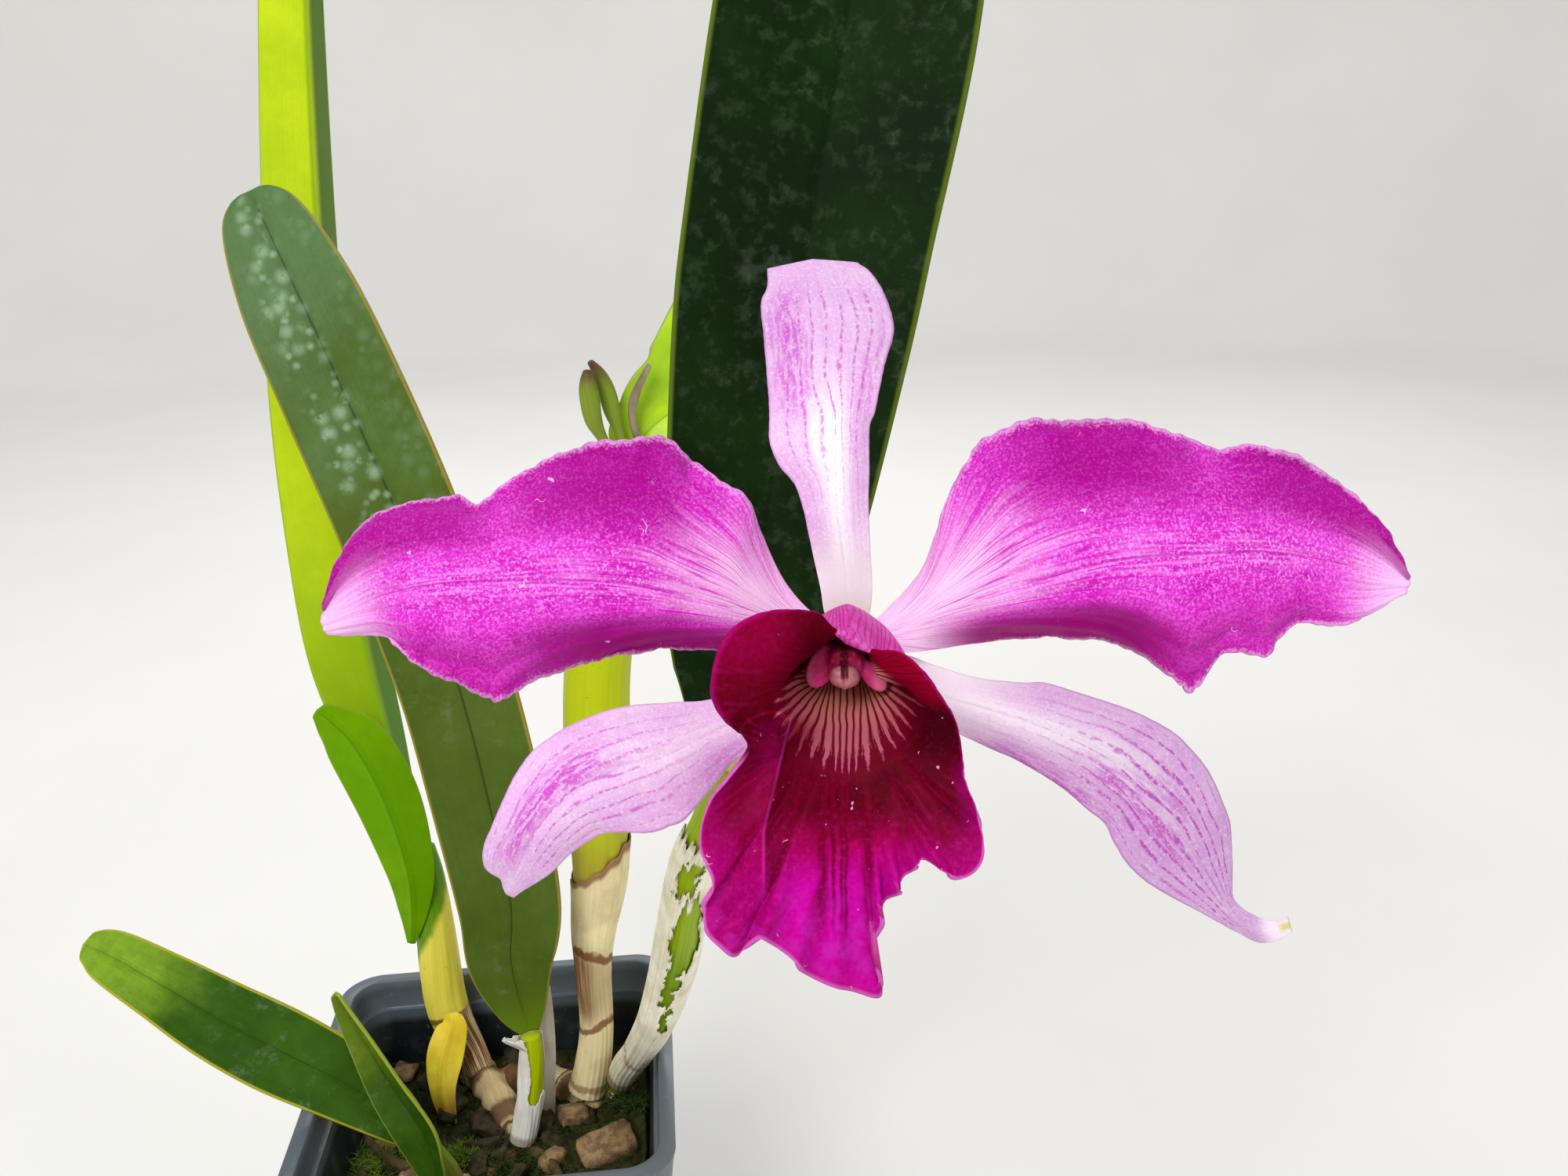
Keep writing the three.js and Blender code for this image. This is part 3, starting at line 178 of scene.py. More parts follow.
# Petals and sepals in the flower's frame: upper (or left) edge, midrib, lower (or right) edge.
PETALS = {
    "petal_left": {
        "upper": [[-2, 3.5, -9.4], [-6.5, 7, -8.4], [-11, 12.5, -6.5], [-14.5, 20, -5], [-16.5, 25, -4],
                  [-22, 29, -2.5], [-26, 31.5, -2], [-28, 34, -1], [-31, 35, -0.5], [-38, 34, 0.5],
                  [-43.5, 33.5, 0.5], [-50.5, 30.5, 1], [-55, 27.5, 0.5], [-59, 24.5, 0],
                  [-61.5, 24, -0.5], [-64.5, 25.5, -1], [-75.5, 23.5, -2.5], [-81.5, 19.5, -3.5],
                  [-85, 14.5, -4.5], [-87.5, 7.5, -6]],
        "middle": [[-2, 2, -9.6], [-9.5, 4, -7.4], [-21, 7.5, 0], [-33.5, 10.5, 4], [-44, 11.5, 6],
                   [-54, 11.5, 6], [-65, 11, 4], [-74, 9.5, 1], [-83, 6.5, -3], [-88, 4.5, -6]],
        "lower": [[-2, 0.5, -9.4], [-9, 0, -7.5], [-21.5, 0, -4], [-31.5, 0, -2], [-42.5, -2, -1],
                  [-50.5, -4.5, -1], [-55.5, -7.5, -0.5], [-57, -8.5, 0], [-59, -7.5, 0.5],
                  [-64.5, -5, 0.5], [-70, -2.5, -0.5], [-74.5, 1, -1.5], [-77.5, 2.5, -3],
                  [-83.5, 2.5, -4.5], [-87, 2.5, -6]],
        "frill": 1.3, "waves": 5, "phase": 0.3,
    },
    "petal_right": {
        "upper": [[3.5, 3, -9.4], [7, 6.5, -8.4], [11.5, 11, -6.5], [14, 15, -5.5], [16.5, 23.5, -4],
                  [19, 29, -3], [22, 34, -2], [25, 36, -1.5], [31, 38, -0.5], [38, 37.5, 0],
                  [42.5, 38, 0.5], [48, 37, 1], [54.5, 35, 0.5], [60.5, 33, 0.5], [65.5, 33.5, 0],
                  [70.5, 33, -0.5], [79, 29.5, -1.5], [85.5, 25, -2.5], [89.5, 21, -3.5],
                  [93, 16, -5], [94.5, 12.5, -6]],
        "middle": [[4, 1.5, -9.6], [9.5, 3.5, -7.4], [17, 7, -1], [25.5, 10, 4], [34, 12.5, 6],
                   [45, 15, 6], [60.5, 16, 4], [70, 16, 1], [83.5, 14, -3], [95, 11, -6]],
        "lower": [[4, 0, -9.4], [10.5, -0.5, -7.5], [21, 1, -4.5], [29.5, 2, -3], [38.5, 2, -2],
                  [44, 1.5, -1], [49, -0.5, -1], [53.5, -4, -1], [56.5, -7, -0.5], [59.5, -4, 0],
                  [61.5, -1, 0.5], [63.5, 0, 1], [68, -1, 0.5], [70.5, 1.5, -0.5], [75, 4.5, -1.5],
                  [80.5, 4, -2.5], [86, 5, -4], [90.5, 7.5, -5], [94, 9.5, -6]],
        "frill": 1.3, "waves": 5.5, "phase": 1.1,
    },
    "sepal_top": {
        "upper": [[-1, 2.5, -12], [-3.2, 6, -11], [-4, 10.5, -7.5], [-5.5, 17, -3.5], [-7, 23.5, -1],
                  [-8.5, 27.5, 0], [-11, 30.5, 0.5], [-12.5, 34.5, 1], [-12.5, 39, 1], [-13, 46, 0.5],
                  [-13.5, 52, -0.5], [-14, 57, -1.5], [-13, 60, -3], [-13, 63.5, -5]],
        "middle": [[1, 2.5, -12], [0.7, 6, -11], [0.3, 10.5, -7], [-0.5, 17, -2.5], [-1.5, 23.5, 0.5],
                   [-2, 32, 2.5], [-3, 44.5, 3], [-3.5, 53.5, 1.5], [-5.5, 65, -4.5]],
        "lower": [[3, 2.5, -12], [4.4, 6, -11], [4.6, 10.5, -7.5], [4, 17, -3.5], [3.5, 23.5, -2],
                  [3.5, 30, -0.5], [3.5, 36.5, 0.5], [4.5, 39.5, 1], [6, 46.5, 1], [7.5, 51.5, 0.5],
                  [7.5, 54, 0], [6.5, 58, -1.5], [4.5, 62, -3], [2, 64.5, -5]],
        "frill": 0.3, "waves": 3, "phase": 0.7,
    },
    "sepal_lower_left": {
        "upper": [[-1.2, 0.4, -12], [-10.5, -6.5, -11], [-22.5, -9, -9.5], [-29.5, -9.5, -8.5],
                  [-36.5, -10, -7.5], [-41, -11, -6.5], [-46, -13, -5.5], [-49.5, -15, -5],
                  [-52.5, -17.5, -5], [-55, -21, -5], [-57, -25, -5], [-59, -29.5, -5],
                  [-60.5, -32.5, -6], [-61, -35.5, -6.5], [-60.5, -37.5, -8], [-58.5, -39, -9],
                  [-58, -41, -10]],
        "middle": [[-0.4, -1, -12], [-10.5, -9.5, -10.5], [-19.5, -13, -7], [-29, -17, -3],
                   [-39, -20, -2], [-45.5, -24, -2], [-51, -29.5, -3], [-54.5, -35.5, -6],
                   [-57.5, -42, -9.6]],
        "lower": [[0.4, -2.4, -12], [-9, -13, -11], [-15.5, -17, -9.5], [-19.5, -19.5, -8],
                  [-21.5, -22, -7], [-24, -25, -6], [-27, -28.5, -5.5], [-29.5, -29.5, -5],
                  [-32.5, -30.5, -5], [-39.5, -30.5, -5], [-43, -32, -5.5], [-46.5, -34.5, -6.5],
                  [-50, -38, -7.5], [-54.5, -41, -9], [-56.5, -42.5, -10]],
        "frill": 0.3, "waves": 3, "phase": 2.0,
    },
    "sepal_lower_right": {
        "upper": [[3.4, 0.6, -12], [11, -1.4, -11], [14.5, -2.8, -10], [19.5, -4.5, -9], [24, -5.5, -8],
                  [30, -6, -7], [34, -6, -6], [40.5, -8, -5.5], [48, -10.5, -5], [54, -13.5, -5],
                  [57.5, -16.5, -5], [61, -21, -5], [63, -25.5, -5], [64.5, -29.5, -5.5],
                  [65, -37, -6], [65.2, -42, -6], [69, -45, -5.5], [71.5, -45.5, -4], [73, -44, -2]],
        "middle": [[2.8, -0.8, -12], [8.5, -4, -11], [15, -7.5, -7.5], [25, -10.5, -4],
                   [35.5, -14, -2.5], [44, -18, -2], [51.5, -24.5, -2.5], [57, -31.5, -3.5],
                   [61.5, -39, -5], [65.5, -45, -5.5], [69.5, -47, -4.5], [73.4, -45.4, -2]],
        "lower": [[2, -2.2, -12], [10, -10, -11], [20, -14.5, -9], [25.5, -17, -8.5], [30, -19, -7.5],
                  [36.5, -23, -6.5], [40.5, -26.5, -5.5], [43.5, -29, -5], [45, -32, -5],
                  [47.5, -36, -5], [51.5, -39.5, -5], [58.5, -43.5, -5], [63, -46, -6], [67, -48, -6],
                  [69.5, -49, -5.5], [72, -48.4, -4], [73.8, -46.8, -2]],
        "frill": 0.3, "waves": 3, "phase": 2.9,
    },
}

PETAL_BOW = 3.2                         # how far the lower half of a petal bows back
BROAD_FOLD, NARROW_FOLD = 0.5, 0.35     # height of the folds that fan out from a petal's base
RIB_GROOVE = 0.35                       # depth of the groove along the midrib

# Lip: rings of the tube as [z, centre x, centre y, half width, half height], then the free margin as
# [angle at the throat, x, y, z], going round from the top over the viewer's left lobe.
LIP_TUBE = [
    [-8, 0.7, 0.6, 3.9, 3.9], [-5.5, 0.6, 0.4, 4.5, 4.4], [-2, 0.2, -0.4, 6.3, 5.9],
    [2.5, 0, -1.8, 8.6, 8.1], [8, -0.1, -4.8, 10.4, 9.6], [12, -0.2, -8.4, 11.2, 9.9],
]
LIP_MARGIN = [
    [90, -0.5, 1.8, 13], [98, -3, 4, 13.5], [106, -5.5, 6.5, 15], [117, -9.5, 7, 16.5],
    [128, -13.5, 6.5, 18], [139, -17.5, 4.5, 19], [150, -20, 1, 19], [162, -21, -3, 19],
    [173, -21, -6.5, 19], [183, -19, -10, 18], [192, -16.5, -12, 17], [198, -15.3, -13.7, 15.5],
    [202, -12.1, -12.1, 14], [204, -9.8, -9.4, 19.5], [206, -12, -8.1, 21.5], [208, -14.9, -9, 21.5],
    [210, -16.6, -10.9, 20.5], [212, -15.6, -13.9, 18.5], [215, -18.8, -18.4, 17.5],
    [218, -21.7, -22.3, 17.5], [224, -23, -28.5, 18], [232, -21, -34, 19.5], [237, -22.5, -38, 18.5],
    [242, -21.5, -42.5, 18], [247, -17.5, -45.5, 17], [251, -14, -42.5, 18.5], [255, -10, -45.5, 16.5],
    [260, -5.5, -50, 14.5], [265, 0.5, -52.5, 11.5], [270, 5, -53.5, 10], [275, 4, -48, 12.5],
    [280, 4.5, -40.5, 15], [287, 7.5, -35, 16.5], [294, 11, -31, 17.5], [300, 16, -33.5, 19],
    [307, 19.5, -31, 19], [315, 19.5, -25.5, 18], [325, 17.5, -19.5, 16], [338, 17, -15, 15.5],
    [354, 16, -10, 15.5], [373, 13.5, -6, 16], [393, 11, -2.5, 16.5], [412, 7.5, 0.5, 15.5],
    [432, 3, 0.6, 14], [450, -0.5, 1.8, 13],
]
THROAT_SHARE = 0.4                      # share of the lip's length that is tube
LIP_ROLL = 3.2                          # how far the tube's end runs forwards before it turns out
LIP_PEAK = 2.6                          # height of the peak in the tube's roof
LIP_FOLDS = ((15, 0, 0.3), (24, 1, 0.22), (41, 2, 0.12))    # waves of the front lobe: count, phase, height
LIP_CRIMPS = ((285, 11, 1.5), (254, 13, 0.9))   # crimped parts of its margin: angle, spread, height
FACE_DEPTH = 225                        # how far before the flower its face is looked at from
FACE_POINT = [-10.29, 10.29]            # and the point that is looked straight at
LIP_SOURCE = [10.3, -13.4]              # where the throat's veins start, on that face-on view
LIP_THROAT = [9.9, -17.4, 12.6, 12.6]   # centre, half width and half height of the throat there
LIP_CREASE = [[-52, -3], [-44.5, -3.3], [-37, -3.1], [-31.5, -1.6], [-22, 1.2]]    # rows of [y, x]

COLUMN = [[0.8, 0.6, -8.2, 2.8], [0.5, 0.5, -4, 2.9], [0, 0, 0, 3.1], [-0.4, -1.4, 4, 3.1],
          [-0.5, -2.2, 6.4, 2.6]]
COLUMN_WINGS = [([-4.1, -2.3, 4.2], [2.3, 3.9, 0.8], -26), ([4.1, -3.9, 4.2], [1.7, 3.1, 0.8], 40)]
COLUMN_GRAIN = 0.26                     # size of the cells that melt the column and its wings together
CAP_CENTRE = [-0.6, -3.9, 7.2]
CAP_RADII = [2.5, 1.8, 1.6]

# Pot: profile rings as [half width, corner radius, z], from under the floor round to inside it.
POT_PROFILE = [
    [12, 4, 0], [38.2, 8.6, 0], [38.8, 9, 0.3], [39, 9, 0.8], [39.8, 9, 2], [50.9, 12, 96.4],
    [51.2, 12, 97], [52.9, 12.4, 97.6], [53.3, 12.5, 98.2], [54.4, 13, 109.8], [54.9, 13, 110.3],
    [55, 13, 110.9], [54.9, 13, 111.6], [54.5, 12.8, 112], [50.9, 10.4, 112], [50.4, 10, 111.8],
    [50.2, 10, 111.2], [49.8, 10, 102.5], [49.5, 9.8, 101.9], [48.5, 9.2, 101.6], [48.1, 9, 101.3],
    [37.4, 8.2, 3.4], [36.8, 8, 3], [12, 4, 3],
]
DRAIN_HOLES = ((22, 22), (-22, 22), (-22, -22), (22, -22))
DRAIN_RADIUS = 5
MIX_TOP = 83
CHIP_SEED = 11
BARE_PATCH = ((22, 44), (-15, -1))      # x and y of the part of the mix that one big chip has to itself
BIG_CHIPS = [((33, -8, MIX_TOP + 1.4), (19, 12, 6), (0.16, -0.14, 0.35)),   # centre, size and turn
             ((16.5, -12, MIX_TOP + 1.6), (9, 6, 5), (0.2, 0.1, 1.0)),
             ((22, 8, MIX_TOP + 1.5), (10, 7, 5), (0.2, 0.3, 0.4))]
LIGHT_TUFTS = 2                         # how many of the moss tufts, from the first, are light green
MOSS_TUFTS = (                          # x, y, spread and height of each
    (-38, -5, 7, 1.0), (-11, -5, 6, 0.9), (40, 14, 7, 0.8), (30, 22, 9, 0.9), (1, -9, 7, 0.9),
    (0, 20, 12, 0.8), (-30, 20, 14, 0.6), (13, 4, 7, 0.8), (12, -22, 12, 0.7), (-20, -30, 16, 0.6))

# The stage, in metres: lights as name, place and size, and the camera.
LIGHTS = (("key", (-0.55, -1.0, 1.35), 0.9), ("fill", (1.2, -0.9, 0.6), 1.2),
          ("back", (0.2, 1.2, 1.3), 1.0), ("wall", (0.0, 1.5, 2.3), 1.8))
LIGHT_GOAL, WALL_GOAL = (0.03, -0.05, 0.27), (0, 2.9, 0.5)
CAMERA_PLACE = (0.06274, -0.363614, 0.378823)
CAMERA_RIGHT, CAMERA_UP = (0.99479, -0.09698, -0.03145), (0.05978, 0.305, 0.95048)
SENSOR_WIDTH = 36


def paint(red, green, blue):
    """A display colour, each part from 0 to 255, as Blender's linear colour."""
    linear = [(c / 255 / 12.92) if c <= 10 else ((c / 255 + 0.055) / 1.055) ** 2.4
              for c in (red, green, blue)]
    return (*linear, 1.0)


def colour_setting(name, description, red, green, blue):
    """A colour property with its default."""
    return bpy.props.FloatVectorProperty(
        name=name, description=description, subtype="COLOR", size=4, min=0.0, max=1.0,
        default=paint(red, green, blue))


def length_setting(name, description, millimetres):
    """A length property with its default in metres."""
    return bpy.props.FloatProperty(
        name=name, description=description, subtype="DISTANCE", unit="LENGTH", min=0.0,
        precision=5, default=millimetres * MM)


def power_setting(name, description, watts):
    """A light's power property with its default."""
    return bpy.props.FloatProperty(
        name=name, description=description, unit="POWER", default=watts, min=0.0)


def count_setting(name, description, count):
    """A property that holds a number of things, with its default."""
    return bpy.props.IntProperty(name=name, description=description, default=count, min=0)


class OrchidFlowerSettings(bpy.types.PropertyGroup):
    """Sizes and colours of the flower."""

    petal_thickness: length_setting("Petal thickness", "Thickness of petals and sepals", 0.8)
    lip_thickness: length_setting("Lip thickness", "Thickness of the lip", 0.75)
    ruffle: length_setting("Ruffle", "Height of the small ruffles along the petal margins", 0.55)
    petal: colour_setting("Petal", "Main colour of the two petals", 214, 36, 196)
    # The deeper colour is the petals' own. It is also painted as shade over their curled upper parts.
    petal_deep: colour_setting("Petal shade", "Deeper colour of the petals' upper parts", 166, 0, 138)
    petal_pale: colour_setting("Petal base", "Pale colour at the petals' bases", 254, 222, 252)
    vein: colour_setting("Petal vein", "Colour of the petals' veins", 200, 4, 182)
    sepal: colour_setting("Sepal", "Main colour of the sepals", 234, 198, 234)
    sepal_vein: colour_setting("Sepal flush", "Colour of the sepals' flushed patches", 204, 60, 198)
    lip_deep: colour_setting("Lip centre", "Deep colour round the throat", 80, 0, 14)
    lip_bright: colour_setting("Lip front", "Bright colour of the front lobe", 198, 4, 158)
    column: colour_setting("Column", "Colour of the column's wings", 222, 58, 128)
    cap: colour_setting("Anther cap", "Colour of the anther cap", 164, 84, 94)


class OrchidPlantSettings(bpy.types.PropertyGroup):
    """Sizes and colours of the leaves, bulbs and sheaths."""

    sheath_thickness: length_setting("Sheath thickness", "Thickness of the papery sheaths", 0.3)
    leaf_dark: colour_setting("Dark leaf", "Colour of the big leaf behind the flower", 12, 30, 8)
    # Painted light: the bright yellow-green stands partly for light shining through these leaves from
    # behind.
    leaf_bright: colour_setting("Bright leaf", "Colour of the leaves lit from behind", 150, 194, 26)
    leaf_green: colour_setting("Green leaf", "Colour of the young leaves", 48, 86, 8)
    leaf_grey: colour_setting("Grey leaf", "Colour of the long front leaf", 72, 94, 16)
    leaf_edge: colour_setting("Leaf edge", "Colour of the leaves' thin margin", 150, 165, 50)
    bulb_green: colour_setting("Bulb", "Colour of the fresh bulbs", 182, 194, 0)
    bulb_yellow: colour_setting("Old bulb", "Colour of the yellowed bulb", 240, 228, 86)
    sheath: colour_setting("Sheath", "Colour of the papery sheaths", 252, 246, 226)
    sheath_stain: colour_setting("Sheath stain", "Colour of the brown patches and rings", 112, 62, 30)
    bract: colour_setting("Bract", "Colour of the yellow bract", 255, 242, 62)


class OrchidPotSettings(bpy.types.PropertyGroup):
    """Sizes and colours of the pot and its mix."""

    pot: colour_setting("Pot", "Colour of the plastic pot", 21, 28, 32)
    bark: colour_setting("Bark", "Colour of the bark chips", 66, 56, 34)
    soil: colour_setting("Mix", "Colour of the damp mix between the chips", 32, 34, 12)
    moss: colour_setting("Moss", "Colour of the moss", 58, 84, 24)
    root: colour_setting("Root rings", "Colour of the rootstock's brown rings", 84, 48, 22)
    chips: count_setting("Chips", "Number of bark chips on the mix", 70)
    strands: count_setting("Moss strands", "Number of moss strands", 3400)


class OrchidStageSettings(bpy.types.PropertyGroup):
    """The floor, the light and the camera."""

    floor: colour_setting("Floor", "Colour of the floor", 236, 235, 232)
    floor_radius: length_setting("Floor radius", "Radius of the flat part of the floor", 2200)
    key_power: power_setting("Key light", "Power of the main soft light", 17.0)
    fill_power: power_setting("Fill light", "Power of the fill light", 4.0)
    back_power: power_setting("Back light", "Power of the light from behind", 7.0)
    wall_power: power_setting("Wall light", "Power of the light on the backdrop", 13.0)
    sky: bpy.props.FloatProperty(name="Sky", description="Strength of the even light all round",
                                 default=0.55, min=0.0)
    lens: bpy.props.FloatProperty(name="Lens", description="Focal length of the camera in millimetres",
                                  unit="CAMERA", default=31.5, min=1.0)


# ---- Curves and surfaces ----------------------------------------------------------------------------

def along(rows, t):
    """The smooth values at t, from 0 to 1, through rows of numbers."""
    rows = np.asarray(rows, float)
    rows = np.vstack([2 * rows[0] - rows[1], rows, 2 * rows[-1] - rows[-2]])
    place = np.clip(t, 0, 1) * (len(rows) - 3)
    first = np.minimum(place.astype(int), len(rows) - 4)
    f = (place - first)[..., None]
    p0, p1, p2, p3 = (rows[first + k] for k in range(4))
    return 0.5 * (2 * p1 + (p2 - p0) * f + (2 * p0 - 5 * p1 + 4 * p2 - p3) * f ** 2
                  + (3 * p1 - p0 - 3 * p2 + p3) * f ** 3)


def evenly(rows, t):
    """The same at an even share t of the curve's length."""
    share = np.linspace(0, 1, 600)
    points = along(rows, share)[:, :3]
    length = np.concatenate([[0], np.cumsum(np.linalg.norm(np.diff(points, axis=0), axis=1))])
    return along(rows, np.interp(t * length[-1], length, share))


def unit(vectors):
    """Vectors made one long."""
    return vectors / np.maximum(np.linalg.norm(vectors, axis=-1, keepdims=True), 1e-9)


def tangents(rows, t):
    """The directions of the curve through rows at t."""
    step = 0.002
    return unit(along(rows, np.clip(t + step, 0, 1))[:, :3] - along(rows, np.clip(t - step, 0, 1))[:, :3])


def smooth(value, low, high):
    """0 below low, 1 above high and a smooth rise between them."""
    f = np.clip((value - low) / (high - low), 0, 1)
    return f * f * (3 - 2 * f)


def ripple(points, scale, seed=0.0):
    """Smooth noise from -1 to 1 at each point, with features of the given size."""
    shift = Vector((seed * 17.3, seed * 9.1, seed * 5.7))
    return np.array([noise.noise(Vector(point) / scale + shift) for point in points])


def to_row(points):
    """Points of the flower's frame in the row frame."""
    return points @ np.array(FLOWER_AXES).T + FLOWER_CENTRE


def tube_surface(rows, swell=None, ends=(True, True), front=(0, -1, 0)):
    """A round stem: s runs up it and t once round it, with t = 0.5 at the front."""
    front = np.array(front, float)

    def surface(s, t):
        centre = along(rows, s)
        heading = tangents(rows, s)
        ahead = unit(front - heading * (heading @ front)[:, None])
        side = np.cross(heading, ahead)
        radius = centre[:, 3].copy()
        if swell is not None:
            radius = radius + swell(s, t)
        for near_end, rounded in ((s, ends[0]), (1 - s, ends[1])):
            if rounded:
                radius *= np.sqrt(np.clip(1 - (1 - np.clip(near_end / 0.02, 0, 1)) ** 2, 0, 1))
        angle = 2 * np.pi * (t - 0.5)
        return (centre[:, :3] + ahead * (radius * np.cos(angle))[:, None]
                + side * (radius * np.sin(angle))[:, None])
    return surface


def leaf_surface(leaf, wave, seed):
    """A strap leaf: s runs up its midrib and t across it, with a sharp groove along the midrib."""
    rib = leaf["rib"]
    face = np.array(leaf["face"], float)
    fold = math.radians(leaf["fold"])

    def surface(s, t):
        u = 2 * t - 1
        heading = tangents(rib, s)
        across = unit(np.cross(heading, face))
        up = np.cross(across, heading)
        centre = along(rib, s)
        half = centre[:, 3] * np.sqrt(np.clip(1 - np.clip((s - 0.975) / 0.025, 0, 1) ** 2, 0, 1))
        lift = np.sqrt(u * u + 0.02) - math.sqrt(0.02)
        groove = -0.5 * np.exp(-(u * half / 0.9) ** 2) * np.sign(fold) * np.minimum(1, half / 6)
        flow = wave * np.abs(u) ** 2 * np.sin(9 * s + 2.1 * np.sign(u) + seed) * np.sin(np.pi * s)
        height = half * lift * math.sin(fold) + groove + flow
        return centre[:, :3] + across * (half * u * math.cos(fold))[:, None] + up * height[:, None]
    return surface


def petal_surface(spec, ruffle, fanned=False):
    """A petal or sepal: s runs from its base to its tip and t from its lower edge to its upper edge. A
    fanned one bows back below its midrib and has long folds that spread out from its base."""
    def surface(s, t):
        u = 2 * t - 1
        out = np.abs(u)
        rib = evenly(spec["middle"], s)
        edge = np.where((u < 0)[:, None], evenly(spec["lower"], s), evenly(spec["upper"], s))
        point = rib + (edge - rib) * out[:, None]
        side = np.where(u < 0, 1.3, 0.0) + spec["phase"]
        point[:, 2] = rib[:, 2] + (edge[:, 2] - rib[:, 2]) * out ** 2
        if fanned:
            point[:, 2] -= (PETAL_BOW * smooth(-u, 0.35, 1.0) ** 1.5 * smooth(s, 0.06, 0.2)
                            * smooth(s, 0.66, 0.45))
            fan = u / (0.16 + 1.3 * np.maximum(s, 0) ** 0.7)
            point[:, 2] += (BROAD_FOLD * np.sin(13 * fan + 2 * spec["phase"]) * smooth(out, 0.1, 0.5)
                            * smooth(s, 0.1, 0.4))
            point[:, 2] += (NARROW_FOLD * np.sin(31 * fan + spec["phase"]) * smooth(out, 0.35, 0.9)
                            * smooth(s, 0.15, 0.4))
        body = np.sin(np.pi * s)
        point[:, 2] += spec["frill"] * out ** 3 * body * np.sin(2 * np.pi * spec["waves"] * s + side)
        fine = np.sin(2 * np.pi * 17 * s + 3 * side) * 0.6 + np.sin(2 * np.pi * 29 * s + side) * 0.4
        edge_only = smooth(out, 0.72, 1.0) * smooth(s, 0.12, 0.3)
        point[:, 2] += ruffle * edge_only * fine
        nicks = np.sin(2 * np.pi * 41 * s + side) + 1.3 * np.sin(2 * np.pi * 13 * s + 2 * side)
        point[:, :2] += (edge - rib)[:, :2] * (0.012 * ruffle * edge_only * nicks)[:, None]
        point[:, 2] -= (RIB_GROOVE * np.exp(-(u * 14) ** 2) * smooth(s, 0.05, 0.3)
                        * smooth(1 - s, 0.02, 0.2))
        return to_row(point)
    return surface


def face_on(point):
    """Where points of the flower's frame lie as its face is looked at, in millimetres."""
    spread = (FACE_DEPTH / (FACE_DEPTH - point[:, 2]))[:, None]
    return (point[:, :2] - np.array(FACE_POINT)) * spread


def lip_surface(s, t):
    """The lip: s runs from the base of its tube to its free margin and t once round it."""
    turn = along(LIP_MARGIN, t)
    angle = np.radians(turn[:, 0])
    ring = along(LIP_TUBE, np.minimum(s / THROAT_SHARE, 1))
    from_top = np.abs(np.arctan2(np.cos(angle), np.sin(angle)))
    roof = LIP_PEAK * np.clip(1 - from_top / 0.62, 0, 1) ** 1.3 * smooth(s, 0.12, THROAT_SHARE)
    degrees = turn[:, 0]
    near = np.exp(-((degrees - 408) / 24) ** 2) + np.exp(-((degrees - 48) / 24) ** 2)
    close = 1 - 0.33 * near * smooth(s, 0.2, THROAT_SHARE)
    close *= np.maximum(smooth(s, -0.001, 0.03), 1e-4)
    throat = np.stack([ring[:, 1] + ring[:, 3] * np.cos(angle) * close,
                       ring[:, 2] + (ring[:, 4] * np.sin(angle) + roof) * close, ring[:, 0]], axis=1)
    f = np.clip((s - THROAT_SHARE) / (1 - THROAT_SHARE), 0, 1)[:, None]
    margin = turn[:, 1:4]
    roll = throat + (margin - throat) * 0.3
    roll[:, 2] = throat[:, 2] + LIP_ROLL
    point = throat * (1 - f) ** 2 + roll * 2 * f * (1 - f) + margin * f ** 2
    low = smooth(-np.cos(angle - math.pi / 2), 0.2, 0.9)
    f = f[:, 0]
    folds = sum(np.sin(angle * count + phase) * height for count, phase, height in LIP_FOLDS)
    point[:, 2] += low * folds * f * (1.1 - 0.5 * f)
    crimp = sum(np.exp(-((degrees - at) / spread) ** 2) * height for at, spread, height in LIP_CRIMPS)
    point[:, 2] += smooth(f, 0.62, 1.0) * crimp * np.sin(angle * 62)
    point[:, 0] += smooth(f, 0.75, 1.0) * crimp * 0.45 * np.sin(angle * 62 + 1.2)
    fine = np.sin(angle * 34 + 0.7) * 0.5 + np.sin(angle * 57) * 0.3
    point[:, 2] += smooth(f, 0.8, 1.0) * (0.2 + 0.4 * low) * fine
    seen = face_on(point)
    off = np.abs(seen[:, 0] - np.interp(seen[:, 1], *zip(*LIP_CREASE)))
    inside = smooth(seen[:, 1], -54, -44) * smooth(seen[:, 1], -18, -24) * smooth(f, 0.05, 0.4)
    point[:, 2] += 2.2 * np.exp(-off / 2.4) * inside * smooth(-point[:, 0], -2, 6)
    return to_row(point)


# ---- Mesh tools ---------------------------------------------------------------------------------------

def clear_selection():
    """Leaves nothing selected and object mode on."""
    if bpy.context.object and bpy.context.object.mode != "OBJECT":
        bpy.ops.object.mode_set(mode="OBJECT")
    bpy.ops.object.select_all(action="DESELECT")


def points_of(piece):
    """The piece's points as an array."""
    flat = np.empty(len(piece.data.vertices) * 3)
    piece.data.vertices.foreach_get("co", flat)
    return flat.reshape(-1, 3)


def set_points(piece, points):
    """Moves the piece's points."""
    piece.data.vertices.foreach_set("co", np.asarray(points, float).ravel())
    piece.data.update()


def edit(piece, *steps):
    """Runs edit mode steps on the whole piece."""
    bpy.context.view_layer.objects.active = piece
    bpy.ops.object.mode_set(mode="EDIT")
    bpy.ops.mesh.select_all(action="SELECT")
    for step in steps:
        step()
    bpy.ops.object.mode_set(mode="OBJECT")


def weld():
    """Merges the selected points that lie on one another."""
    bpy.ops.mesh.remove_doubles(threshold=1e-6)


def modify(piece, kind, **settings):
    """Adds a modifier and applies it."""
    bpy.context.view_layer.objects.active = piece
    bpy.ops.object.modifier_add(type=kind)
    modifier = piece.modifiers[-1]
    for name, value in settings.items():
        setattr(modifier, name, value)
    bpy.ops.object.modifier_apply(modifier=modifier.name)


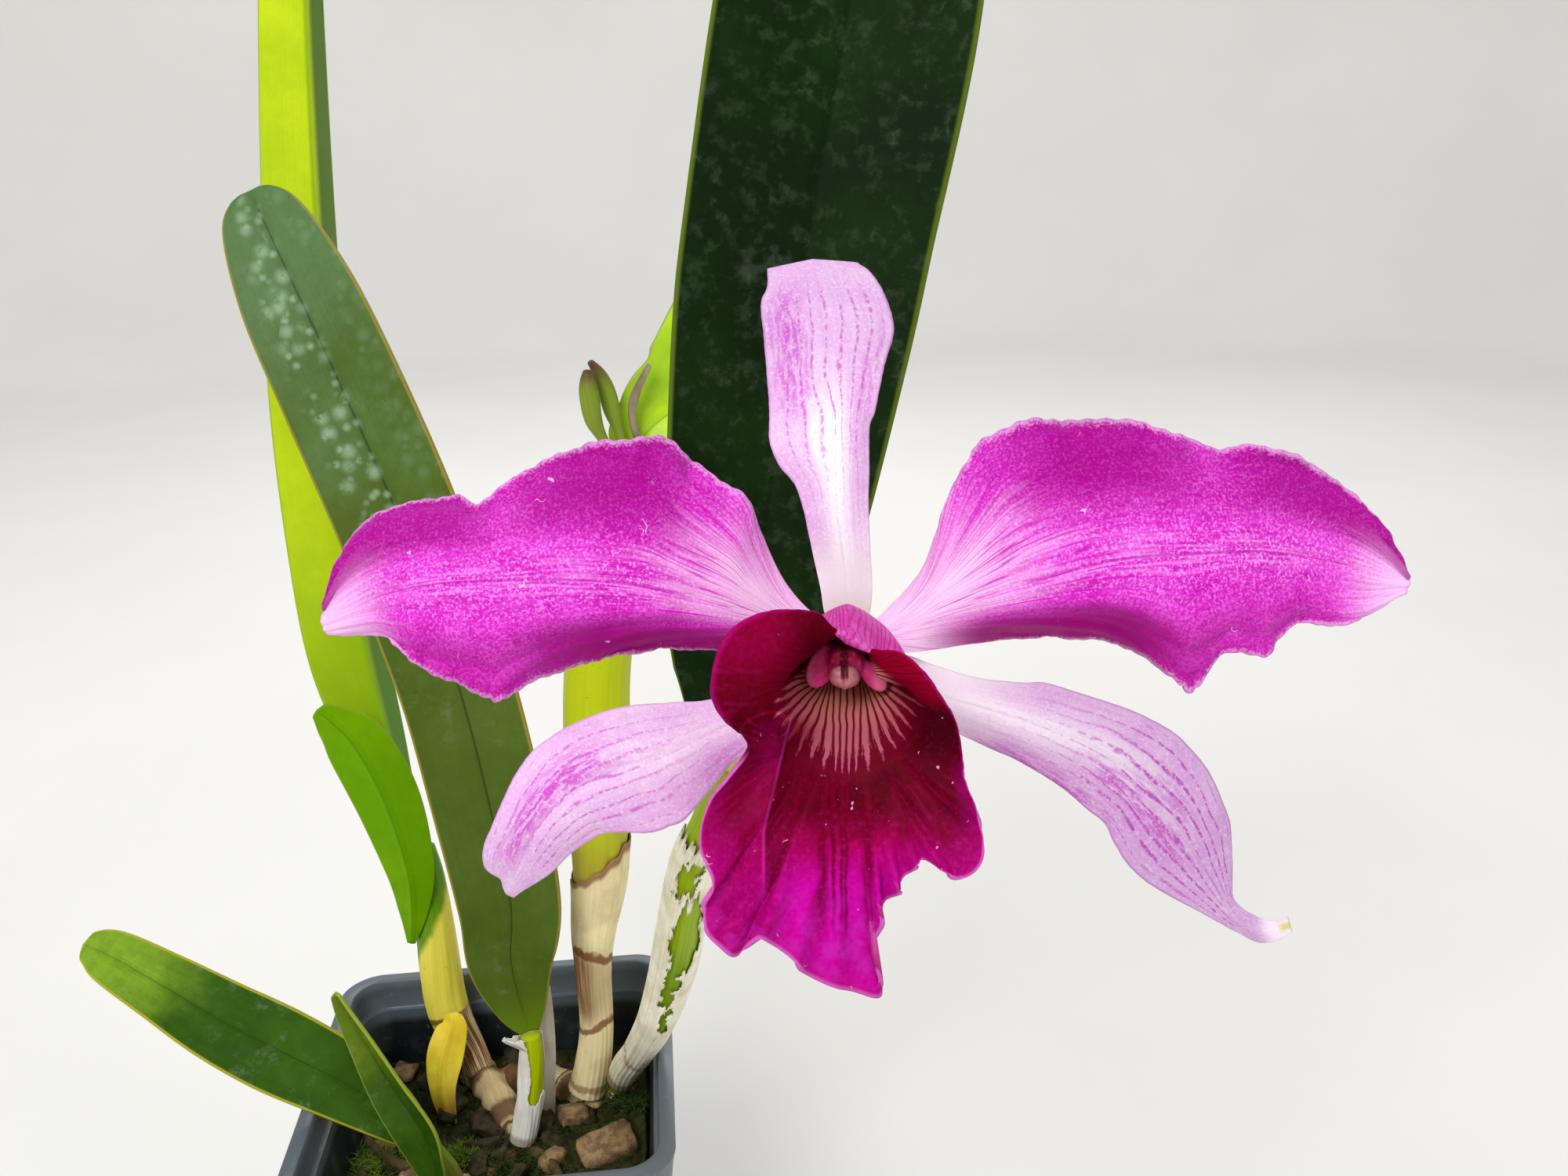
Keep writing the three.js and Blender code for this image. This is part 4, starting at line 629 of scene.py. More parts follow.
def add_sheet(name, steps, surface):
    """A grid whose points are placed by surface(s, t) in millimetres; its UV map holds s and t."""
    clear_selection()
    bpy.ops.mesh.primitive_grid_add(x_subdivisions=steps[0], y_subdivisions=steps[1], size=1)
    piece = bpy.context.object
    piece.name = piece.data.name = name
    flat = points_of(piece)
    set_points(piece, surface(flat[:, 0] + 0.5, flat[:, 1] + 0.5) * MM)
    return piece


def add_tube(name, steps, surface):
    """A sheet whose sides meet, welded into a tube."""
    piece = add_sheet(name, steps, surface)
    edit(piece, weld)
    outwards(piece)
    return piece


def outwards(piece):
    """Turns the faces of a closed or open skin to one side, outwards."""
    edit(piece, lambda: bpy.ops.mesh.normals_make_consistent(inside=False))


def add_front_map(piece):
    """Adds a UV map that holds where each point lies as the flower's face is looked at."""
    inner = (points_of(piece) / MM - FLOWER_CENTRE) @ np.array(FLOWER_AXES)
    corners = np.empty(len(piece.data.loops), dtype=np.int32)
    piece.data.loops.foreach_get("vertex_index", corners)
    front = piece.data.uv_layers.new(name="front", do_init=False)
    front.data.foreach_set("uv", face_on(inner)[corners].ravel())


def dress(piece, slot, materials, *nodes):
    """Shades the piece smooth, gives it its finish and its body, and hides the frame's parts of the nodes
    that it stands for; the slot is not used.
    """
    clear_selection()
    piece.select_set(True)
    bpy.context.view_layer.objects.active = piece
    bpy.ops.object.shade_smooth()
    for material in materials:
        piece.data.materials.append(material)
    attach(piece, "root")
    if nodes:
        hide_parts(*nodes)
    return piece


# ---- Finishes -----------------------------------------------------------------------------------------

class Value:
    """One value of a finish. Values add, subtract and multiply like numbers."""

    def __init__(self, look, socket):
        self.look, self.socket = look, socket

    def __add__(self, other):
        return self.look.math("ADD", self, other)

    def __sub__(self, other):
        return self.look.math("SUBTRACT", self, other)

    def __rsub__(self, other):
        return self.look.math("SUBTRACT", other, self)

    def __mul__(self, other):
        return self.look.math("MULTIPLY", self, other)

    def __abs__(self):
        return self.look.math("ABSOLUTE", self)

    def line(self, slope, start):
        """The value times a slope, from a start."""
        return self.look.math("MULTIPLY_ADD", self, slope, start)

    def rise(self, low, high, top=1.0):
        """0 below low, top above high and smooth between; it falls where low is above high."""
        share = self.look.add("MapRange", 0, {"Value": self, "From Min": low, "From Max": high},
                              interpolation_type="SMOOTHSTEP")
        return share if top == 1.0 else share * top

    def apart(self, centre):
        """How far the value is from a number."""
        return abs(self + -centre)

    def centred(self, size):
        """Noise as a shift to both sides of zero."""
        return (self + -0.5) * size


class Finish:
    """A procedural material, built up node by node over its body's colour."""

    def __init__(self, name, roughness=0.5, specular=0.5, follows=True):
        self.material = bpy.data.materials.new(name)
        self.material.use_nodes = True
        self.tree = self.material.node_tree
        self.shader = self.tree.nodes["Principled BSDF"]
        self.shader.inputs["Roughness"].default_value = roughness
        self.shader.inputs["Specular IOR Level"].default_value = specular
        self.s, self.t = self.place() if follows else (None, None)
        self.body = None

    def add(self, kind, output, inputs, **settings):
        """Adds a node, sets or joins its inputs and returns one of its outputs."""
        node = self.tree.nodes.new("ShaderNode" + kind)
        for name, value in settings.items():
            setattr(node, name, value)
        for socket, value in inputs.items():
            if isinstance(value, Value):
                self.tree.links.new(value.socket, node.inputs[socket])
            else:
                node.inputs[socket].default_value = value
        return Value(self, node.outputs[output])

    def math(self, operation, first, second=0.0, third=0.0):
        """One Math node."""
        return self.add("Math", 0, {0: first, 1: second, 2: third}, operation=operation)

    def most(self, first, *others):
        """The largest of several values."""
        for other in others:
            first = self.math("MAXIMUM", first, other)
        return first

    def where(self):
        """The piece's own coordinates."""
        return self.add("TexCoord", "Object", {})

    def parts(self, vector):
        """The x, y and z of a vector."""
        node = self.tree.nodes.new("ShaderNodeSeparateXYZ")
        self.tree.links.new(vector.socket, node.inputs[0])
        return [Value(self, output) for output in node.outputs]

    def place(self, name="UVMap"):
        """The two values that one of the piece's UV maps holds."""
        return self.parts(self.add("UVMap", "UV", {}, uv_map=name))[:2]

    def across(self):
        """The share s along the piece, the place across it from -1 to 1, and that without its sign."""
        u = self.t.line(2.0, -1.0)
        return self.s, u, abs(u)

    def mix(self, share, first, second):
        """The first colour with a share of the second."""
        return self.add("Mix", 2, {0: share, 6: first, 7: second}, data_type="RGBA")

    def over(self, share, colour):
        """Lays a share of a colour over the body's colour."""
        self.body = self.mix(share, self.body, colour)

    def noise(self, scale, detail=3.0, roughness=0.55):
        """Noise from 0 to 1 with features of the given size in millimetres."""
        return self.add("TexNoise", 0, {"Vector": self.where(), "Scale": 1.0 / (scale * MM),
                                        "Detail": detail, "Roughness": roughness})

    def streaks(self, first, second, detail=3.0):
        """Noise on any two values, with a feature for each whole step of either."""
        vector = self.add("CombineXYZ", 0, {0: first, 1: second})
        return self.add("TexNoise", 0, {"Vector": vector, "Scale": 1.0, "Detail": detail})

    def stretched(self, scale_s, scale_t, detail=3.0):
        """Noise on the piece's own s and t, with its own number of features along each."""
        return self.streaks(self.s * scale_s, self.t * scale_t, detail)

    def drops(self, size, kept, low, high):
        """Round spots in cells of the given size in millimetres, in the kept share of the cells."""
        place = {"Vector": self.where(), "Scale": 1.0 / (size * MM)}
        pick = self.add("SeparateColor", 0, {0: self.add("TexVoronoi", "Color", place)})
        return self.add("TexVoronoi", "Distance", place).rise(high, low) * pick.rise(kept + 0.02, kept)

    def scales(self, size, width):
        """Thin broken contour lines, like the edges of flaking scale."""
        line = self.noise(size, 3.0).apart(0.5).rise(width, 0.0)
        return line * self.noise(size * 0.8, 2.0).rise(0.5, 0.66) * self.noise(30.0, 2.0).rise(0.44, 0.6)

    def scratches(self, share):
        """A few thin curled marks."""
        curl = self.noise(2.6, 1.0).apart(0.5).rise(0.014, 0.004)
        return curl * self.noise(3.4, 1.0).rise(0.7, 0.74) * share

    def lines(self, value, count, width, wander, noise):
        """Thin lines where value times count is whole, shifted by noise: 1 on a line and 0 off it."""
        saw = self.math("FRACT", (value + (noise - 0.5) * wander) * count)
        return abs(saw - 0.5).rise(0.5 - width, 0.5 - 0.25 * width)

    def join(self, name, value):
        """Joins a value to one of the shader's inputs."""
        self.tree.links.new(value.socket, self.shader.inputs[name])

    def done(self, rough, height, distance):
        """The material, with its body's colour, its roughness and relief of a height in millimetres."""
        self.join("Base Color", self.body)
        self.join("Roughness", rough)
        self.join("Normal", self.add("Bump", 0, {"Height": height, "Distance": distance * MM}))
        return self.material


def petal_finish(name, colours, tip_from):
    """A petal: frosted magenta with fanning veins, a pale base and tip and a streaked midrib, with painted
    shade over its curled upper and lower parts and a painted highlight along its midrib.
    """
    look = Finish(name, roughness=0.5, specular=0.07)
    s, u, out = look.across()
    fan = look.math("DIVIDE", u, look.math("POWER", s, 0.7).line(1.3, 0.16))
    cloud = look.noise(9.0, 4.0)
    frost = look.noise(0.48, 3.0, roughness=0.7)
    grain = look.noise(0.3, 2.0)
    broad = look.streaks(s * 3.0, fan * 6.0)
    fine = look.streaks(s * 8.0, fan * 32.0)
    look.body = look.mix(cloud.rise(0.36, 0.62), colours.petal, paint(228, 70, 216))
    # Partly painted shade: the upper part, and the upper half near the tip, take the deeper colour. This
    # stands for the shade of the curled margin as well as the petals' own tone.
    upper = u.rise(0.15, 0.6) * s.rise(0.24, 0.42) * s.rise(0.72, 0.5)
    outer = u.rise(0.2, 0.6) * s.rise(0.54, 0.74) * 0.95
    look.over(look.most(upper, outer), colours.petal_deep)
    look.over(fine.rise(0.5, 0.68, 0.4), colours.petal_deep)
    # Painted shade: the lower margin, which curls back near the base, is darkened.
    lower = ((u + broad.centred(0.3)).rise(-0.25, -0.72) * s.rise(0.62, 0.42).line(0.55, 0.45)
             * s.rise(0.9, 0.76) * s.rise(0.08, 0.22))
    # Partly painted highlight: the pale frost is strongest along the midrib, standing for the band of light
    # along it, and fades where shade is painted.
    near_rib = out.rise(0.4, 0.05) * s.rise(0.1, 0.3)
    out_of_shade = look.most(upper, outer, lower).line(-0.8, 1.0)
    look.over(frost.rise(0.5, 0.36, 0.55), colours.petal_deep)
    frost_highlight = frost.rise(0.5, 0.62) * near_rib.line(0.4, 0.52) * out_of_shade
    look.over(frost_highlight, paint(246, 146, 240))
    reach = s + (broad.centred(0.3) + fine.centred(0.16))
    reach = reach + u.rise(0.3, 0.9, 0.11)
    base = reach.rise(0.42, 0.08) * look.most(u.rise(-0.5, -0.05), s.rise(0.26, 0.08))
    look.over(base, colours.petal_pale)
    # Painted shade along the curled lower margin.
    look.over(lower, paint(150, 0, 110))
    veins = look.lines(fan, 13.0, 0.19, 0.34, broad) * fine.rise(0.34, 0.56)
    veins = veins * s.rise(0.62, 0.36).line(0.5, 0.36) * out_of_shade
    look.over(veins, colours.vein)
    rows = look.streaks(s * 7.0, u * 26.0, 2.0)
    streak = out.rise(0.24, 0.06) * rows.rise(0.47, 0.6) * s.rise(0.15, 0.3) * s.rise(0.88, 0.7)
    look.over(streak * 0.42, paint(246, 158, 240))
    rib = abs(u + broad.centred(0.02)).rise(0.02, 0.006) * s.rise(0.25, 0.5)
    look.over(rib * 0.6, paint(172, 12, 158))
    tip = (s + fine.centred(0.16)).rise(tip_from, 0.98) * u.rise(0.8, 0.1)
    look.over(tip * 0.85, paint(248, 206, 247))
    margin = (out + frost.centred(0.16)).rise(0.94, 1.0) * s.rise(0.1, 0.3)
    look.over(margin * 0.6, paint(242, 180, 240))
    look.over(look.scratches(0.7), paint(252, 214, 250))
    return look.done(grain.line(0.3, 0.36), frost * 0.7 + (veins * 0.06 + broad * 0.3), 0.18)


def sepal_finish(name, colours, white, flushes, painted_shade, rows_share, tip):
    """A sepal: pale lilac with a white middle that is partly a painted highlight, rows of soft dashes, a
    creamy base, flushed patches and painted shade that deepens towards the tip.
    """
    look = Finish(name, roughness=0.5, specular=0.14)
    s, u, out = look.across()
    cloud = look.noise(8.0, 4.0)
    frost = look.noise(0.5, 3.0, roughness=0.7)
    grain = look.noise(0.35, 2.0)
    drift = look.stretched(4.0, 3.0)
    long = look.streaks(s * 4.0, u * 11.0)
    dash = look.streaks(s * 70.0, u * 9.0, 2.0)
    stripes = look.streaks(s * 22.0, u * 13.0, 4.0)
    look.body = look.mix(cloud.rise(0.34, 0.64), colours.sepal, paint(226, 176, 230))
    look.over(long.rise(0.46, 0.66, 0.55), paint(232, 166, 232))
    # Partly painted highlight: the white middle is the sepal's own pale colour and also the highlight that
    # the light from above lays on it.
    centre = (out + long.centred(0.4)).rise(0.62, 0.08) * s.rise(0.8, 0.5)
    look.over(centre * white, paint(255, 250, 255))
    for side, width, low, high, share in flushes:
        patch = ((u.apart(side) + long.centred(0.5)).rise(width, 0.0) * s.rise(low, low + 0.14)
                 * s.rise(high, high - 0.14))
        grained = stripes.rise(0.4, 0.58).line(0.75, 0.25)
        look.over(patch * share * grained, colours.sepal_vein)
    rows = look.lines(u, 4.6, 0.1 + 0.08 * rows_share, 0.5, drift)
    rows = (rows * dash.rise(0.38, 0.56) * out.rise(0.95, 0.75) * s.rise(0.3, 0.65).line(rows_share, 0.18)
            * s.rise(0.96, 0.86))
    look.over(rows, paint(198, 70, 192))
    look.over(frost.rise(0.52, 0.66, 0.45), paint(255, 246, 255))
    look.over(frost.rise(0.48, 0.34, 0.3), paint(214, 150, 218))
    margin = (out + frost.centred(0.08)).rise(0.95, 1.0)
    look.over(margin * 0.5, paint(212, 140, 216))
    rib = out.rise(0.03, 0.008) * s.rise(0.34, 0.2) * dash.rise(0.4, 0.5)
    look.over(rib * 0.6, paint(214, 206, 120))
    # Partly painted highlight: the base is whitened along with the middle.
    look.over(s.rise(0.36, 0.16) * white, paint(255, 253, 252))
    # Painted shade that deepens along the sepal towards its tip.
    look.over(s.rise(painted_shade[0], painted_shade[1]) * painted_shade[2], paint(104, 62, 116))
    look.over(s.rise(0.93, 0.97) * (0.8 * tip), paint(254, 244, 252))
    look.over(s.rise(0.975, 0.99) * out.rise(0.6, 0.1) * tip, paint(214, 206, 90))
    look.over(s.rise(0.12, 0.02), paint(250, 246, 216))
    return look.done(grain.line(0.3, 0.36), frost * 0.6 + long * 0.7, 0.16)


def lip_inner_finish(colours):
    """Inside the lip: crimson veins that widen over a creamy throat, a burgundy flare and a magenta lobe,
    with painted shade inside its right side, painted shade and highlight along the crease of the flare, and
    a painted sheen low on the front lobe.
    """
    look = Finish("lip_inside", roughness=0.45, specular=0.02)
    s = look.s
    x, y = look.place("front")
    cloud = look.noise(5.0, 4.0)
    wander = look.noise(8.0, 2.0)
    fine = look.noise(0.8, 4.0, roughness=0.7)
    grain = look.noise(0.35, 2.0)
    across = x + -LIP_SOURCE[0]
    band = look.math("MINIMUM", look.most(across, -2.2), 2.2)
    beside = across - band
    down = LIP_SOURCE[1] - y
    turn = look.math("ARCTAN2", beside, down)
    count = band * 0.9 + turn * 6.2
    count = count + wander.centred(0.9)
    across_share = look.math("POWER", x.apart(LIP_THROAT[0]) * (1 / LIP_THROAT[2]), 1.7)
    down_share = look.math("POWER", y.apart(LIP_THROAT[1]) * (1 / LIP_THROAT[3]), 1.7)
    out = across_share + down_share + cloud.centred(0.5)

    def vein(count, low, high, first, last):
        saw = look.math("FRACT", count)
        near = abs(saw.line(2.0, -1.0))
        near = near + fine.centred(0.9) * out.rise(0.35, 0.9)
        width = look.add("MapRange", 0, {"Value": out, "From Min": low, "From Max": high,
                                         "To Min": 1 - first, "To Max": 1 - last})
        edge = near - width
        return edge.rise(-0.06, 0.22)
    lines = look.most(vein(count, 0.0, 1.6, 0.34, 0.56), vein(count, 0.6, 1.15, 0.2, 1.2),
                      vein(count * 2.0 + 0.5, 0.5, 1.1, 0.1, 0.8) * out.rise(0.4, 0.65))
    cream = look.mix(y.rise(-25.0, -17.0), paint(180, 94, 108), paint(196, 120, 100))
    cream = look.mix(x.apart(LIP_SOURCE[0]).rise(3.0, 11.0), cream, paint(180, 76, 104))
    cream = look.mix(y.rise(-25.0, -30.0), cream, paint(188, 84, 126))
    throat = look.mix(lines * 0.97, cream, paint(104, 0, 27))
    deep = look.mix(cloud.rise(0.3, 0.7), colours.lip_deep, paint(96, 0, 24))
    left_hood = look.most((y + x * -0.96).rise(-17.0, -16.0), x.rise(-0.9, -1.9))
    right_hood = (y + x * 0.8).rise(-1.4, 0.2)
    hood = look.most(left_hood, right_hood)
    dark = look.mix(look.most(out.rise(0.94, 1.45), hood), throat, deep)
    # Painted shade: the right side inside the lip, below the throat, is darkened almost to black.
    dark = look.mix(x.rise(18.0, 25.0) * y.rise(-32.0, -24.0), dark, paint(58, 0, 8))
    lobe = x.rise(5.0, -4.0) * y.rise(-24.0, -16.0) * left_hood
    dark = look.mix(lobe, dark, look.mix(y.rise(-17.0, -9.0), paint(108, 0, 26), paint(142, 0, 54)))
    near_top = x.rise(10.0, 14.0) * y.rise(-21.0, -17.0) * right_hood
    dark = look.mix(near_top, dark, paint(132, 0, 34))
    low = y + cloud.centred(6.0)
    side = x.apart(10.0).rise(8.0, 20.0)
    rose = look.mix(low.rise(-35.0, -44.0), dark, look.mix(side, paint(160, 0, 72), paint(138, 0, 70)))
    bright = low.rise(-40.0, -50.0) * side.line(-0.75, 1.0)
    look.body = look.mix(bright, rose, colours.lip_bright)
    left = x.rise(1.0, -3.0) * y.rise(-25.0, -34.0)
    look.over(left * 0.6, look.mix(y.rise(-36.0, -44.0), paint(118, 0, 36), paint(150, 0, 88)))
    # Painted shade and highlight along the crease of the flare: darker to its right, lighter to its left,
    # and a highlight on its crest.
    bend = look.add("MapRange", 0, {"Value": y, "From Min": -40.0, "From Max": -21.0, "To Min": 3.3,
                                    "To Max": -1.2})
    off = x + bend
    along_bend = y.rise(-52.0, -44.0) * y.rise(-20.0, -23.0)
    look.over(off.rise(7.0, 1.0) * off.rise(0.0, 0.5) * along_bend * 0.75, paint(100, 0, 26))
    look.over(off.rise(-7.0, -1.0) * off.rise(0.0, -0.5) * along_bend * 0.35, paint(158, 2, 92))
    look.over(off.apart(0.0).rise(0.4, 0.05) * along_bend * 0.4, paint(206, 50, 158))
    branch = abs(look.math("FRACT", band * 0.35 + turn * 4.6 + wander.centred(0.55)).line(2.0, -1.0))
    branches = (branch + fine.centred(0.3)).rise(0.62, 0.96) * y.rise(-28.0, -36.0) * s.rise(0.98, 0.8)
    for centre in (8.2, 9.6):
        line = (x + wander.centred(1.4)).apart(centre).rise(0.6, 0.05)
        branches = look.most(branches, line * y.rise(-28.0, -33.0) * y.rise(-60.0, -50.0))
    look.over(branches * 0.84, paint(112, 0, 34))
    # Painted sheen: patches of paler violet low on the front lobe.
    painted_sheen = look.noise(3.0, 3.0).rise(0.4, 0.62) * low.rise(-46.0, -60.0)
    look.over(painted_sheen * 0.55, paint(196, 44, 188))
    streaks = (look.streaks(s * 5.0, look.t * 120.0).rise(0.5, 0.66) * out.rise(1.0, 1.4)
               * look.most(x.rise(2.0, -2.0), y.rise(-26.0, -34.0)))
    look.over(streaks * x.apart(10.0).rise(6.0, 12.0) * 0.25, paint(170, 6, 92))
    band = (s + cloud.centred(0.1)).rise(0.84, 0.98) * y.rise(-27.0, -33.0)
    look.over(band * 0.4, paint(168, 4, 116))
    curl = x.rise(4.0, 2.0) * x.rise(-9.0, -8.0) * y.rise(-18.5, -20.0) * y.rise(-29.0, -27.0)
    rim = (s + fine.centred(0.03)).rise(0.965, 0.997) * curl.line(-0.5, 0.5)
    look.over(rim, paint(178, 10, 120))
    edge = s.rise(0.988, 0.998) * y.rise(-26.5, -30.0)
    look.over(edge * 0.7, paint(222, 116, 210))
    look.over(fine.rise(0.5, 0.66) * out.rise(1.0, 1.3) * y.rise(-34.0, -48.0).line(0.2, 0.05),
              paint(204, 40, 150))
    look.over(fine.rise(0.5, 0.34) * out.rise(1.0, 1.3) * 0.2, paint(84, 0, 22))
    marks = look.most(look.scratches(0.7), look.noise(1.1, 1.0).rise(0.76, 0.8, 0.6))
    look.over(marks * out.rise(1.2, 1.5), paint(240, 176, 220))
    return look.done(grain.line(0.3, 0.32), fine * 0.4 + look.most(lines, branches).line(-0.6, 0.6), 0.16)


def lip_outer_finish():
    """Outside the lip: pink with darker long veins, paler towards the base."""
    look = Finish("lip_outside", roughness=0.5, specular=0.12)
    s, t = look.s, look.t
    drift = look.stretched(4.0, 16.0)
    cloud = look.noise(5.0, 4.0)
    frost = look.noise(0.8, 3.0, roughness=0.7)
    veins = look.lines(t + 0.004, 125.0, 0.2, 0.03, drift)
    look.body = look.mix(cloud.rise(0.34, 0.66), paint(204, 56, 160), paint(222, 90, 184))
    look.over(s.rise(0.3, 0.0), paint(240, 190, 224))
    look.over(veins * 0.4, paint(150, 8, 96))
    look.over(frost.rise(0.54, 0.7, 0.3), paint(236, 150, 214))
    look.over(s.rise(0.9, 1.0, 0.8), paint(160, 8, 104))
    curl = t.rise(0.2, 0.25) * t.rise(0.42, 0.39) * s.rise(0.5, 0.7)
    look.over(curl, paint(116, 0, 36))
    return look.done(frost.line(0.25, 0.38), frost * 0.6 + veins, 0.12)


def column_finish(colours):
    """The column: two paler wings, and down the middle of its dark hood a dark slot that is a painted shadow
    of the gap between the lip's edges.
    """
    look = Finish("column", roughness=0.45, specular=0.06, follows=False)
    x, y = look.place("front")
    grain = look.noise(0.5, 3.0)
    cloud = look.noise(2.0, 2.0)
    edge = x.apart(9.7) + cloud.centred(1.0)
    wing = edge.rise(2.3, 3.6)
    look.body = look.mix(cloud.rise(0.4, 0.62), paint(178, 16, 76), paint(204, 46, 102))
    look.over(wing, colours.column)
    look.over(edge.rise(4.4, 6.2, 0.6), paint(244, 132, 172))
    # Painted shadow: the dark slot stands for the shaded gap between the lip's edges over the column.
    slot = x.apart(9.9).rise(0.95, 0.5) * y.rise(-15.5, -14.0)
    look.over(slot * 0.9, paint(92, 0, 18))
    look.over(grain.rise(0.55, 0.7, 0.2), paint(240, 140, 176))
    return look.done(grain.line(0.25, 0.32), cloud + grain * 0.5, 0.06)


def cap_finish(colours):
    """The anther cap: pale and waxy, with the painted shadow of the column's dark slot running into it from
    above.
    """
    look = Finish("anther_cap", roughness=0.4, specular=0.3, follows=False)
    x, y = look.place("front")
    cloud = look.noise(2.2, 3.0)
    grain = look.noise(0.4, 2.0)
    look.body = look.mix(cloud.rise(0.35, 0.65), colours.cap, paint(192, 118, 126))
    look.over(x.apart(10.1).rise(1.7, 2.6, 0.6), paint(128, 34, 62))
    look.over(y.rise(-16.0, -16.9, 0.5), paint(176, 112, 84))
    # Painted shadow: the column's dark slot carried on into the cap.
    slot = x.apart(10.0).rise(0.75, 0.35) * y.rise(-15.4, -14.6)
    look.over(slot * 0.9, paint(84, 0, 20))
    return look.done(grain.line(0.2, 0.3), cloud + slot * -3.0, 0.1)


def speckled_finish(name, first, second, third, size, roughness, relief, gloss):
    """Two colours in soft clouds with fine specks of a third."""
    look = Finish(name, roughness=roughness, specular=gloss, follows=False)
    cloud = look.noise(size)
    grain = look.noise(size * 0.12, 2.0)
    look.body = look.mix(cloud.rise(0.35, 0.65), first, second)
    look.over(grain.rise(0.55, 0.72, 0.5), third)
    return look.done(grain.line(0.3, roughness - 0.15), cloud + grain * 0.5, relief)


def leaf_finish(name, main, shade, edge, rib, bright, marks, gloss, roughness, fibres, foot=None,
                foot_end=0.16, shade_side=0.0, specks=0.0, upper=None, dots=0.0, edge_from=0.95, scaly=0.0,
                upper_from=(0.42, 0.66)):
    """A leathery leaf: fine long fibres, a keeled midrib, a thin margin, water marks and dried dots."""
    look = Finish(name, roughness=roughness, specular=gloss)
    s, u, out = look.across()
    cloud = look.noise(26.0, 4.0)
    fibre = look.stretched(2.2, 120.0, 4.0)
    cross = look.stretched(90.0, 8.0, 3.0)
    grain = look.noise(0.9, 3.0)
    patch = look.noise(4.0, 4.0, roughness=0.7)
    look.body = look.mix(cloud.rise(0.35, 0.68), main, bright)
    if upper:
        look.over((s + cloud.centred(0.3)).rise(*upper_from), upper)
    look.over(patch.rise(0.4, 0.62) * fibres, shade)
    look.over(fibre.rise(0.42, 0.62) * fibres, shade)
    look.over(cross.rise(0.5, 0.8) * (0.3 * fibres), bright)
    # Painted shade: the far half of the folded leaf, turned away from the light, is darkened.
    if shade_side:
        far = (u * shade_side).rise(0.06, 0.32)
        look.over(far * 0.9, shade)
    if foot:
        look.over(s.rise(foot_end, 0.02), foot)
    look.over(out.rise(0.05, 0.0, 0.75), rib)
    look.over(out.rise(edge_from, edge_from + 0.04, 0.85), edge)
    wet = look.noise(7.0, 7.0, roughness=0.75).rise(0.54, 0.68)
    wet = wet * look.noise(40.0, 2.0).rise(0.4, 0.62)
    look.over(wet * marks, paint(176, 186, 168))
    if scaly:
        flakes = look.most(look.scales(5.0, 0.05) * 0.7, patch.rise(0.5, 0.66, 0.35))
        look.over(flakes * scaly, paint(92, 118, 84))
    if dots:
        near = look.most(u.apart(-0.3).rise(0.5, 0.2), u.rise(0.3, 0.6, 0.25))
        drop = (look.most(look.drops(5.4, 0.8, 0.05, 0.62), look.drops(3.2, 0.5, 0.05, 0.55))
                * s.rise(0.45, 0.6) * near * patch.rise(0.32, 0.52))
        big = look.drops(9.0, 0.6, 0.2, 0.5) * s.rise(0.8, 0.9) * u.rise(0.0, -0.4)
        look.over(look.most(drop, big) * dots, paint(162, 192, 160))
    if specks:
        brown = look.noise(0.8, 1.0).rise(0.66, 0.72)
        look.over(brown * specks, paint(60, 58, 20))
    return look.done(grain.line(0.2, roughness - 0.1) + wet * 0.25,
                     fibre * fibres + (grain * 0.35 + patch * 0.5), 0.14)


def bulb_finish(name, fresh, old, turn, stain, ring=None, foot=None, slant=0.0, fibres=0.2):
    """A bulb: long furrows, greener above and yellower below, with brown specks and a ringed node."""
    look = Finish(name, roughness=0.4, specular=0.18)
    s, t = look.s, look.t
    cloud = look.noise(14.0, 4.0)
    fibre = look.stretched(3.0, 60.0, 3.0)
    grain = look.noise(0.8, 3.0)
    where = s + cloud.centred(0.1)
    if slant:
        where = where + t.line(-slant, 0.5 * slant)
    look.body = look.mix(where.rise(turn[0], turn[1]), old, fresh)
    look.over(fibre.rise(0.45, 0.65) * fibres, stain)
    specks = look.noise(1.6, 2.0).rise(0.68, 0.76)
    look.over(specks * 0.4, paint(110, 70, 20))
    if ring is not None:
        band = s.apart(ring).rise(0.03, 0.008)
        look.over(band * 0.85, paint(104, 58, 26))
    if foot is not None:
        low = look.mix(fibre.rise(0.42, 0.58), paint(120, 70, 40), paint(214, 190, 146))
        look.over(where.rise(foot, foot - 0.06), low)
    return look.done(grain.line(0.2, 0.32), fibre + grain * 0.4, 0.14)


